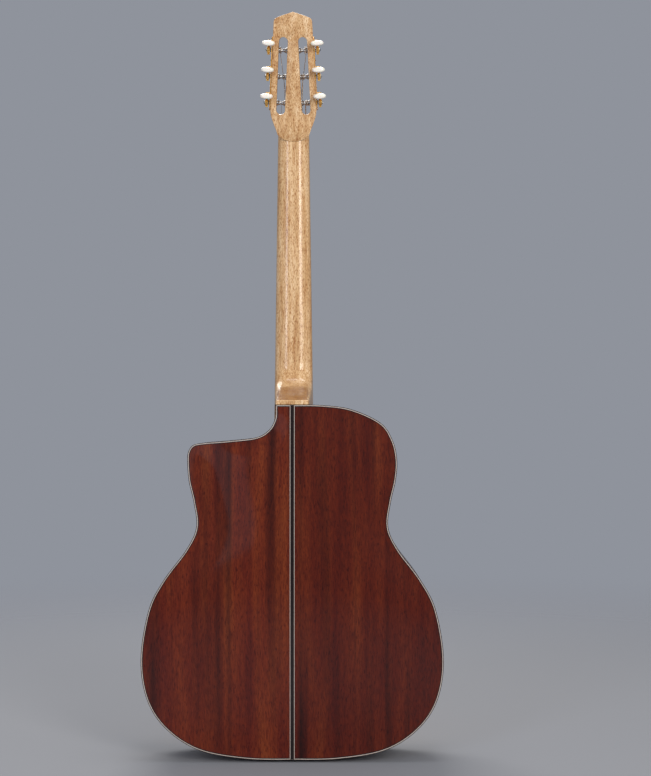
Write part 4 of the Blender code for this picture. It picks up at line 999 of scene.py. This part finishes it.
spot = addNode(fretTree, "ShaderNodeCombineXYZ", {}, {"Z": high})
moved = addNode(fretTree, "GeometryNodeSetPosition", {}, {"Geometry": line.outputs[0], "Position": spot.outputs[0]})
stretch = addNode(fretTree, "ShaderNodeCombineXYZ", {"Y": 1.0, "Z": 1.0}, {"X": half})
wire = addNode(fretTree, "GeometryNodeObjectInfo", {}, {"Object": given["Wire"]})
endTree(fretTree, given, moved.outputs[0], wire.outputs["Geometry"], None, stretch.outputs[0])


# a row of one shape at the given spots, all facing one way, each with its own turn unless that is 0
def fitRow(name, shape, size, seed, spots, facing, place, body="guitar", turn=6.0):
    values = {"Shape": shape, "Size": size, "Turn": turn, "Seed": seed, "Finish": shape.data.materials[0]}
    fitPiece(growPiece(name, rowTree, values, place, spots, facing), (), body)


# a domed screw head of radius 1 with its slot, to be sized where it is used
screwProfile = [(1.0, -0.3), (1.0, 0.12), (0.86, 0.36), (0.55, 0.55), (0.2, 0.62)]
screwShape = turnedPiece("screwShape", screwProfile, 14, "turnedSteel")
slotRings = [oblong(-1.3, 1.3, -0.13, 0.13, z) for z in (0.3, 1.0)]
slotBar = shellPiece("slotBar", [slotRings], "turnedSteel", Matrix())
cutWith(screwShape, [slotBar])
dotShape = turnedPiece("dotShape", [(1.0, -0.2), (1.0, 0.0), (0.9, 0.012)], 18, "pearlDots")
pinProfile = [(0.62, -1.0), (0.62, 1.1), (0.95, 1.25), (1.0, 1.5), (0.8, 1.78), (0.3, 1.9)]
pinShape = turnedPiece("pinShape", pinProfile, 14, "polishedBrass")

# fretboard, frets, dots and nut
board = {
    "frets": 21,
    "marked": (3, 5, 7, 10, 12, 15, 17),
    "wireWide": 0.0022,
    "inset": 0.0006,
    "round": 0.0005,
    "dot": 0.0030,
    "dotPair": 0.0085,
    "dotLift": 0.00002,
    "sideDot": 0.0011,
    "nutRise": 0.0013,
}
ends = [(neck["end"], neckHalf(neck["end"])), (0.0, neckHalf(0)), (neckLong, neckHalf(neckLong))]
boardOutline = [Vector((half, z)) for z, half in ends] + [Vector((-half, z)) for z, half in reversed(ends)]
e = board["round"]
levels = [(0.0, -e), (0.13 * e, -0.5 * e), (0.5 * e, -0.13 * e), (e, 0), (neck["board"], 0)]
fitPiece(levelledBlock("fretboardSlab", boardOutline, levels, "oiledEbony", neckPlace), ["fretboard"])

# the crowned wire lies along X from -1 to 1 and is stretched to each fret's half width
crown = [(-0.5, 0.0008), (-0.5, -0.0002), (-0.42, -0.0006), (-0.24, -0.0009), (0, -0.0010)]
crown += [(-w, y) for w, y in reversed(crown[:-1])]
rings = []
for x, share in ((-1, 0.5), (-0.975, 1), (0.975, 1), (1, 0.5)):
    rings.append([(x, y * (share if y < 0 else 1), w * board["wireWide"]) for w, y in crown])
wireShape = shellPiece("wireShape", [rings], "nickelSilver", Matrix(), 50)
fretValues = {
    "Frets": board["frets"],
    "Scale length": scaleLong,
    "Neck length": neckLong,
    "Nut half": nutHalf - board["inset"],
    "Spread": (neck["jointWide"] - neck["nutWide"]) / 2 / neckLong,
    "Wire": wireShape,
    "Finish": finish["nickelSilver"],
}
fitPiece(growPiece("fretWires", fretTree, fretValues, neckPlace, sharp=50))


def fretZ(n):
    return neckLong - neck["scale"] * (1 - 0.5 ** (n / 12)) / cos(neck["lean"])


dotRows = [(n, (fretZ(n) + fretZ(n - 1)) / 2) for n in board["marked"]]
pair, lift = board["dotPair"], board["dotLift"]
spots = [(x, -lift, z) for n, z in dotRows for x in ((-pair, pair) if n == 12 else (0.0,))]
fitRow("boardDots", dotShape, board["dot"], 4, spots, (0, -1, 0), neckPlace)
spots = [(-neckHalf(z) - lift, neck["board"] * 0.5, z) for n, z in dotRows]
fitRow("sideDots", dotShape, board["sideDot"], 5, spots, (-1, 0, 0), neckPlace)

strings = {
    "spreadNut": 0.0355,
    "spreadBridge": 0.0590,
    "spreadTail": 0.0480,
    "radii": (0.00066, 0.00053, 0.00042, 0.00036, 0.00030, 0.00025),
    "wound": 4,  # the bass strings; the others are plain steel
    "turns": 1.75,
    "turnGap": 0.0006,
    "loopSteps": 40,
    "around": 10,
}
nutTop = -board["nutRise"]
corner = [(nutHalf, neckTop - gap), (nutHalf, nutTop + 0.0006), (nutHalf - 0.0006, nutTop - 0.0002)]
outline = [(-x, y) for x, y in corner]
for number, radius in enumerate(strings["radii"]):
    x = strings["spreadNut"] * (number / 5 - 0.5)
    for side, reach, y in ((-1, 0.0005, -0.0006), (-1, 0.0001, 0), (1, 0.0001, 0), (1, 0.0005, -0.0006)):
        outline.append((x + side * (radius + reach), nutTop + y))
outline += reversed(corner)
rings = [[(x, y, z) for x, y in outline] for z in (neckLong + gap, neckEnd + gap)]
fitPiece(shellPiece("boneNut", [rings], "polishedBone", neckPlace), ["nut"])
print("fretboard, frets, dots and nut are built")

# soundboard with its oval hole, purfling rings and the wood round the hole
hole = {"z": 0.305, "halfWide": 0.040, "halfLong": 0.054, "around": 96, "lift": 0.00005, "ringDeep": 0.0006}
soundTable = platePiece("soundTable", (1, -1), 0.0, topY, 1, "lacqueredSpruce")
ovalPath = []
for a in turns(hole["around"]):
    normal = Vector((cos(a) / hole["halfWide"], sin(a) / hole["halfLong"])).normalized()
    ovalPath.append((Vector((hole["halfWide"] * cos(a), hole["z"] + hole["halfLong"] * sin(a))), normal))
outline = [point for point, normal in ovalPath]
holeShape = levelledBlock("holeShape", outline, [(-0.02, 0), (0.02, 0)], "lacqueredSpruce")
cutWith(soundTable, [holeShape])
clearAway([holeShape])
fitPiece(soundTable, ["soundboard"])
# rings let into the soundboard: start and end from the hole's edge, and the wood of each
ringWoods = [(-0.0001, 0.0012, "oiledRosewood")]
for start, end in ((0.0052, 0.0072), (0.0108, 0.0128)):
    ringWoods += [(start, start + 0.0006, "blackFibre"), (start + 0.0006, end - 0.0006, "whiteMapleLine")]
    ringWoods += [(end - 0.0006, end, "blackFibre")]
ringWoods.insert(4, (0.0072, 0.0108, "oiledRosewood"))
for number, (start, end, wood) in enumerate(ringWoods):
    deep = hole["ringDeep"] if number else box["plate"]
    inlaidLine("holeRing%d" % number, (start, end), (-hole["lift"], deep), topY, wood, ovalPath)

# bridge and the moustache wings beside it
bridge = {
    "z": 0.171549,
    "half": 0.055,
    "tall": 0.0190,
    "foot": 0.0125,
    "topHalf": 0.0022,
    "saddleHalf": 0.0355,
    "archHalf": 0.016,
    "archTall": 0.007,
    "endTall": 0.0055,
    "footTall": 0.004,
    "wing": 0.055,
    "stations": 66,
}
bridgeHalf, bridgeZ, saddleHalf = bridge["half"], bridge["z"], bridge["saddleHalf"]
saddleTop = topY(0, bridgeZ) - gap - bridge["tall"]
crestKnots = [(0, saddleTop), (saddleHalf - 0.004, saddleTop), (saddleHalf, saddleTop + 0.0004)]
crestKnots += [(saddleHalf + 0.005, saddleTop + 0.0048), (saddleHalf + 0.011, saddleTop + 0.0090)]
crest = curveThrough(crestKnots + [(bridgeHalf, topY(bridgeHalf, bridgeZ) - bridge["endTall"])], 8)


def crestY(x):
    for a, b in zip(crest, crest[1:]):
        if a.x <= abs(x) <= b.x:
            return a.y + (b.y - a.y) * (abs(x) - a.x) / max(b.x - a.x, 1e-9)
    return crest[-1].y


def bridgeHalfAt(y):
    share = clamped((topY(0, bridgeZ) - bridge["footTall"] - y) / (bridge["tall"] - bridge["footTall"]))
    return bridge["foot"] / 2 - 0.0004 + (bridge["topHalf"] - bridge["foot"] / 2 + 0.0004) * share ** 0.8


rings = []
for i in range(bridge["stations"] + 1):
    x = -bridgeHalf + 2 * bridgeHalf * i / bridge["stations"]
    arch = max(0.0, 1 - (x / bridge["archHalf"]) ** 2) ** 0.6 * bridge["archTall"]
    low, high = topY(x, bridgeZ) - gap - arch, crestY(x)
    ring = [(y, bridgeHalfAt(y)) for y in (low + (high - low) * s for s in (0, 0.15, 0.35, 0.6, 0.8))]
    top = bridgeHalfAt(high)
    ring += [(high + 0.0007, top), (high + 0.0002, top - 0.0005), (high, top - 0.0010)]
    rings.append([(x, y, bridgeZ + half) for y, half in ring] + [(x, y, bridgeZ - half) for y, half in reversed(ring)])
archedBridge = shellPiece("archedBridge", [rings], "oiledRosewood", sharp=50)
fitPiece(archedBridge, ["bridge"], "floating_bridge")
# share of the length, drop of the centre toward the tail, half width and height
wingKnots = [
    (0.0, 0.0, 0.0055, 0.0050), (0.18, 0.0012, 0.0070, 0.0048), (0.38, 0.0030, 0.0072, 0.0042),
    (0.60, 0.0034, 0.0058, 0.0034), (0.80, 0.0012, 0.0040, 0.0027), (0.94, -0.0030, 0.0024, 0.0022),
    (1.0, -0.0056, 0.0010, 0.0018),
]
for side, label in handed:
    rings = []
    for share, drop, half, tall in curveThrough(wingKnots, 6):
        x, z = side * (bridgeHalf + 0.0006 + bridge["wing"] * share), bridgeZ - drop
        ring = []
        for k in range(11):
            across, up = -cos(pi * k / 10), sin(pi * k / 10) ** 0.55 if 0 < k < 10 else 0
            ring.append((x, topY(x, z + half * across) - gap - tall * up, z + half * bent(across, 0.7)))
        rings.append(ring)
    wing = shellPiece("moustache" + label, [rings], "oiledRosewood", sharp=50)
    fitPiece(wing, ["moustache_" + label.lower()])
print("soundboard, rings, bridge and moustache are built")

# tailpiece: sheet brass bent over the tail edge, with its string bar and wood insert
tail = {
    "long": 0.105,
    "sheet": 0.0015,
    "barTall": 0.0058,
    "barLong": 0.0070,
    "barRound": 0.0014,
    "insert": 0.0022,
    "insertInset": 0.004,
    "insertSteps": 12,
    "steps": 5,
    "screw": 0.0024,
    "pin": 0.0010,
}
tailKnots = [
    (-0.0006, -0.040, 0.0210), (-0.0006, -0.006, 0.0210), (-0.0006, 0.0030, 0.0200), (0.0010, 0.0052, 0.0195),
    (0.0080, 0.0064, 0.0180), (0.0420, 0.0106, 0.0150), (0.0720, 0.0138, 0.0245), (0.0820, 0.0148, 0.0290),
    (tail["long"] - 0.002, 0.0172, 0.0310),
]
tailCurve = [Vector(knot) for knot in tailKnots[:2]] + curveThrough(tailKnots[2:], tail["steps"])
rings = []
for i, (z, front, half) in enumerate(tailCurve):
    ahead = tailCurve[min(i + 1, len(tailCurve) - 1)].xy - tailCurve[max(i - 1, 0)].xy
    out = Vector((-ahead.y, ahead.x)).normalized() * tail["sheet"]
    outer = [(half, 0), (half, 0.75), (half - 0.0005, 1), (0.5 * half, 1)]
    section = [(-half, 0)] + outer + [(-x, share) for x, share in reversed(outer[1:])]
    rings.append([(x, -front - out.y * share, z + out.x * share) for x, share in section])
fitPiece(shellPiece("bentTailpiece", [rings], "brushedBrass", sharp=30), ["tailpiece"])

# the string bar has rounded edges
(startZ, startFront, startHalf), (barZ, barFront, barHalf) = tailKnots[6], tailKnots[8]
barTop = -barFront - tail["barTall"]
barEnds = (tail["long"] - tail["barLong"], tail["long"])
rings = [oblong(-barHalf, barHalf, barTop, -barFront + 0.0012, z) for z in barEnds]
stringBar = shellPiece("stringBar", [rings], "polishedBrass")
bevel = stringBar.modifiers.new("roundedEdge", "BEVEL")
bevel.width = tail["barRound"]
bevel.segments = 3
bevel.limit_method = "ANGLE"
bevel.angle_limit = radians(35)
settleMesh(stringBar, 40)
fitPiece(stringBar)

slope = (barFront - startFront) / (barZ - startZ)
insertTop = barEnds[0] - 0.0006
rings = []
for z in (startZ + (insertTop - startZ) * k / tail["insertSteps"] for k in range(tail["insertSteps"] + 1)):
    half = startHalf - tail["insertInset"] + (barHalf - startHalf) * min(1.0, (z - startZ) / 0.010)
    face = -(startFront + slope * (z - startZ)) - tail["sheet"] - 0.0006
    outer = face - tail["insert"]
    section = [(half, face), (half, outer + 0.0007), (half - 0.0002, outer + 0.0002), (half - 0.0007, outer)]
    rings.append([(-half, face, z)] + [(x, y, z) for x, y in section] + [(-x, y, z) for x, y in reversed(section[1:])])
fitPiece(shellPiece("tailInsert", [rings], "rosewoodInsert"), ["tailpiece_insert"])
spots = [(x, 0.026 + 0.006 * (x == 0), -0.0006 - tail["sheet"] + gap) for x in (-0.013, 0.0, 0.013)]
fitRow("tailScrews", screwShape, tail["screw"], 2, spots, (0, 0, -1), guitarPlace)
# the ball ends of the strings stand in the bar, on pins
spots = [(strings["spreadTail"] * (k / 5 - 0.5), barTop + 0.0002, tail["long"] - 0.0035) for k in range(6)]
fitRow("barPins", pinShape, tail["pin"], 3, spots, (0, -1, 0), guitarPlace, turn=0.0)
print("tailpiece is built")

# tuning machines, each in a frame on the head's edge: X out of the head, Y to the back
tuner = {
    "middle": 0.078,
    "deep": 0.0091,
    "spacing": 0.035,
    "wormOff": 0.009,
    "wormOut": 0.0054,
    "shaft": 0.0030,
    "wormShaft": 0.0017,
    "wormReach": 0.0074,
    "wormCore": 0.0022,
    "wormTip": 0.0036,
    "wormHalf": 0.0040,
    "threadPitch": pi * 0.00085,
    "threadLand": pi * 0.00085 - 0.00125,
    "threadTurns": 2,
    "flange": 0.0040,
    "waistShare": 0.52,
    "plate": 0.0012,
    "plateHalf": 0.0062,
    "plateBelow": 0.0105,  # how far the plate runs past the first roller and the last worm
    "plateAbove": 0.0085,
    "screwInset": 0.0021,
    "lugIn": 0.0052,
    "lugThick": 0.0012,
    "lugHalf": 0.0042,
    "buttonStart": 0.0100,
    "buttonSquare": 2.4,
    "plateScrew": 0.0014,
    "gearScrew": 0.0022,
    "gearScrewOut": 0.0082,
    "around": 32,
    "turnSteps": 24,
}
# number, side, place along the head, where its string's winding starts and which way it runs
machines = [
    (1, -1, -1, 0.0147, 1), (2, -1, 0, 0.0166, 1), (3, -1, 1, 0.0096, -1),
    (4, 1, 1, 0.0096, -1), (5, 1, 0, 0.0166, 1), (6, 1, -1, 0.0147, 1),
]
spacing, shaft, thin, wormOut, wormOff, buttonStart = (
    tuner[key] for key in ("spacing", "shaft", "wormShaft", "wormOut", "wormOff", "buttonStart")
)
steps, plateHalf = tuner["turnSteps"], tuner["plateHalf"]
tunerPlace = {}
for side, label in handed:
    shift = Matrix.Translation((side * edgeHalf(tuner["middle"]), tuner["deep"], tuner["middle"]))
    tunerPlace[side] = headPlace @ shift @ Matrix.Rotation(-side * edgeAngle, 4, "Y")
alongX = Matrix(((0, 0, 1, 0), (1, 0, 0, 0), (0, 1, 0, 0), (0, 0, 0, 1)))  # a turned shape's Z becomes X
alongY = Matrix(((1, 0, 0, 0), (0, 0, 1, 0), (0, -1, 0, 0), (0, 0, 0, 1)))  # a turned shape's Z becomes Y
slotOuter = -head["slotFromEdge"] + head["slotWide"] / 2
slotInner = -head["slotFromEdge"] - head["slotWide"] / 2
rollerSpan = slotOuter - slotInner - 2 * gap


# the roller is waisted like an hourglass, with a full flange at each end
def rollerRadius(along):
    share = (along - slotInner - gap) / rollerSpan
    flare = min(1.0, abs(2 * share - 1) / 0.86) ** 1.8
    return tuner["flange"] * (tuner["waistShare"] + (1 - tuner["waistShare"]) * flare)


rollerProfile = [(shaft - 0.0004, -0.0262), (shaft, -0.0254), (shaft, slotInner + gap)]
rollerProfile += [(rollerRadius(along), along) for along in (slotInner + gap + rollerSpan * k / 24 for k in range(25))]
rollerProfile += [(shaft, slotOuter - gap), (shaft, 0.0034)]
gearBoss = [(0.0037, 0.0069), (0.0037, 0.0077), (0.0033, 0.0080)]
collar = [(0.0024, -0.0022), (0.0030, -0.0020), (0.0030, -0.0006), (0.0034, -0.0004), (0.0034, 0.0004)]
buttonCollar = [(radius, buttonStart + along) for radius, along in collar + [(0.0026, 0.0006)]]

# along the button, with its half width and half thickness
buttonKnots = [
    (0.0, 0.0027, 0.0026), (0.0018, 0.0029, 0.0026), (0.0036, 0.0056, 0.0031), (0.0058, 0.0080, 0.0036),
    (0.0085, 0.0087, 0.0038), (0.0115, 0.0084, 0.0036), (0.0138, 0.0070, 0.0029), (0.0148, 0.0050, 0.0020),
    (0.0150, 0.0018, 0.0007),
]
power = 2 / tuner["buttonSquare"]
buttonRings = [
    [(wide * bent(cos(a), power), buttonStart + along, thick * bent(sin(a), power)) for a in turns(tuner["around"])]
    for along, wide, thick in curveThrough(buttonKnots, 4)
]

# the worm's turned core, then its ridge wound around it, which runs out at both ends
core, wormHalf, pitch, land = tuner["wormCore"], tuner["wormHalf"], tuner["threadPitch"], tuner["threadLand"]
coreProfile = [(thin - gap, -tuner["wormReach"]), (thin, gap - tuner["wormReach"]), (thin, -wormHalf)]
coreProfile += [(core, -wormHalf), (core, wormHalf), (thin, wormHalf), (thin, buttonStart - gap)]
coreRings = [[(radius * cos(a), along, radius * sin(a)) for a in turns(steps)] for radius, along in coreProfile]
threadSteps = steps * tuner["threadTurns"]
ridgeRings = []
for step in range(threadSteps + 1):
    a = 2 * pi * step / steps
    start = -(pitch * 1.25 + land / 2) + pitch * step / steps
    tipRadius = core + (tuner["wormTip"] - core) * min(1.0, step / 4, (threadSteps - step) / 4)
    ridge = [(land - 0.00003, core - 0.0002), (land + 0.00025, tipRadius - 0.00008), (land + 0.00033, tipRadius)]
    ridge += [(pitch - 0.00033, tipRadius), (pitch - 0.00025, tipRadius - 0.00008), (pitch + 0.00003, core - 0.0002)]
    ridgeRings.append([(radius * cos(a), start + along, -radius * sin(a)) for along, radius in ridge])

# a lug is round outside, square toward the plate, and bored for the worm's shaft
ways = [Vector((cos(a), sin(a))) for a in turns(24)]
lugBore = [way * (thin + gap) for way in ways]
lugRim, thick = [], tuner["lugThick"]
for way in ways:
    square = min((wormOut - 0.0013) / max(-way.x, 1e-9), tuner["lugHalf"] / max(abs(way.y), 1e-9))
    lugRim.append(way * (tuner["lugHalf"] if way.x >= 0 else square))

for side, label in handed:
    line = tunerPlace[side]
    # the plate is a rounded strip with three bores; every worm runs between two lugs on it
    low, high = -spacing - tuner["plateBelow"], spacing + wormOff + tuner["plateAbove"]
    flat = Matrix(((0, side, 0, 0), (1, 0, 0, 0), (0, 0, 1, 0), (0, 0, 0, 1)))
    curve = [Vector((plateHalf * cos(pi * k / 16), plateHalf * 0.75 * sin(pi * k / 16))) for k in range(17)]
    outline = [Vector((p.x, high - 0.75 * plateHalf + p.y)) for p in curve]
    outline += [Vector((-p.x, low + 0.75 * plateHalf - p.y)) for p in curve]
    outline.reverse()
    top = gap + tuner["plate"]
    levels = [(gap, 0), (top - 0.0003, 0), (top - 0.0001, -0.0001), (top, -0.0003)]
    plate = levelledBlock("plate" + label, outline, levels, "brushedBrass", line @ flat)
    bores = []
    for i in (-1, 0, 1):
        at = line @ Matrix.Translation((0, 0, i * spacing)) @ alongX
        bores.append(turnedPiece("bore%d" % i, [(shaft + gap, z) for z in (-0.004, 0.004)], 24, "polishedBrass", at))
    cutWith(plate, bores)
    clearAway(bores)
    fitPiece(plate, ["plate_" + label.lower()])
    lugs = []
    for wormZ, end in [(i * spacing + wormOff, end) for i in (-1, 0, 1) for end in (-1, 1)]:
        rings = []
        for loop, y in ((lugRim, 0), (lugBore, 0), (lugBore, thick), (lugRim, thick), (lugRim, 0)):
            y = end * (tuner["lugIn"] + y)
            rings.append([(side * (wormOut + p.x), y, wormZ + p.y) for p in loop])
        lugs.append(rings)
    fitPiece(shellPiece("lugs" + label, lugs, "polishedBrass", line, 40, capped=False))
    spots = (low + tuner["screwInset"], -0.4 * spacing, 0.6 * spacing, high - tuner["screwInset"])
    spots = [(side * top, 0, z) for z in spots]
    fitRow("plateScrews" + label, screwShape, tuner["plateScrew"], 7 + side, spots, (side, 0, 0), line)

for number, side, index, fromEdge, way in machines:
    gearAt = tunerPlace[side] @ Matrix.Translation((0, 0, index * spacing))
    wormAt = tunerPlace[side] @ Matrix.Translation((side * wormOut, 0, index * spacing + wormOff))
    key, spool = "key_%d" % number, "spool_%d" % number
    button = shellPiece("ovalButton%d" % number, [buttonRings], "ivoryPlastic", wormAt, 60)
    fitPiece(button, ["button_%d" % number], key)
    worm = shellPiece("threadedWorm%d" % number, [coreRings, ridgeRings], "turnedSteel", wormAt)
    fitPiece(worm, ["worm_%d" % number], key)
    collar = turnedPiece("buttonCollar%d" % number, buttonCollar, 24, "polishedBrass", wormAt @ alongY)
    fitPiece(collar, (), key)
    # a hollow-waisted roller on its steel pin, and a boss and screw that hold its gear
    profile = [(radius, side * along) for radius, along in rollerProfile]
    roller = turnedPiece("stringRoller%d" % number, profile, 28, "turnedSteel", gearAt @ alongX)
    fitPiece(roller, ["roller_%d" % number], spool)
    profile = [(radius, side * along) for radius, along in gearBoss]
    boss = turnedPiece("gearBoss%d" % number, profile, 24, "polishedBrass", gearAt @ alongX)
    fitPiece(boss, (), spool)
    spots, facing = [(side * tuner["gearScrewOut"], 0, 0)], (side, 0, 0)
    fitRow("gearScrew%d" % number, screwShape, tuner["gearScrew"], number, spots, facing, gearAt, spool)
print("tuning machines are built")

# strings, from the tailpiece over bridge and nut to 1.75 turns on each roller
toNeck = guitarPlace.inverted() @ neckPlace
for place, (number, side, index, fromEdge, way) in enumerate(machines):
    radius, share, wound = strings["radii"][place], place / 5 - 0.5, place < strings["wound"]
    rise = nutTop - radius - gap
    line = guitarPlace.inverted() @ tunerPlace[side]
    axisZ = index * spacing
    ahead, behind = (toNeck @ Vector((strings["spreadNut"] * share, rise, z + gap)) for z in (neckLong, neckEnd))
    leave = line.inverted() @ behind
    coil = rollerRadius(-fromEdge) + radius + gap
    toNut = Vector((leave.z - axisZ, -leave.y))
    topAngle = atan2(toNut.y, toNut.x) - acos(coil / toNut.length)
    tailEnd = Vector((strings["spreadTail"] * share, -barFront - tail["barTall"] * 0.55 - radius, tail["long"] + gap))
    route = [tailEnd, Vector((strings["spreadBridge"] * share, saddleTop - radius - gap, bridgeZ)), ahead, behind]
    for i in range(round(strings["turns"] * strings["loopSteps"]) + 1):
        a = topAngle - 2 * pi * i / strings["loopSteps"]
        out = -fromEdge + way * (2 * radius + strings["turnGap"]) * i / strings["loopSteps"]
        coil = max(coil, rollerRadius(out) + radius + gap)
        route.append(line @ Vector((side * out, -coil * sin(a), axisZ + coil * cos(a))))
    # the tube's rings turn with the route, so it never twists
    rings, across = [], Vector((1, 0, 0))
    for i, point in enumerate(route):
        ahead = (route[min(i + 1, len(route) - 1)] - route[max(i - 1, 0)]).normalized()
        across = (across - ahead * across.dot(ahead)).normalized()
        up = ahead.cross(across)
        rings.append([point + radius * (across * cos(a) + up * sin(a)) for a in turns(strings["around"])])
    tube = shellPiece("stringTube%d" % number, [rings], "wrapWire" if wound else "drawnSteel", sharp=50)
    fitPiece(tube, ["string_%d" % number])
clearAway([screwShape, slotBar, dotShape, pinShape, wireShape])
print("strings are laid")
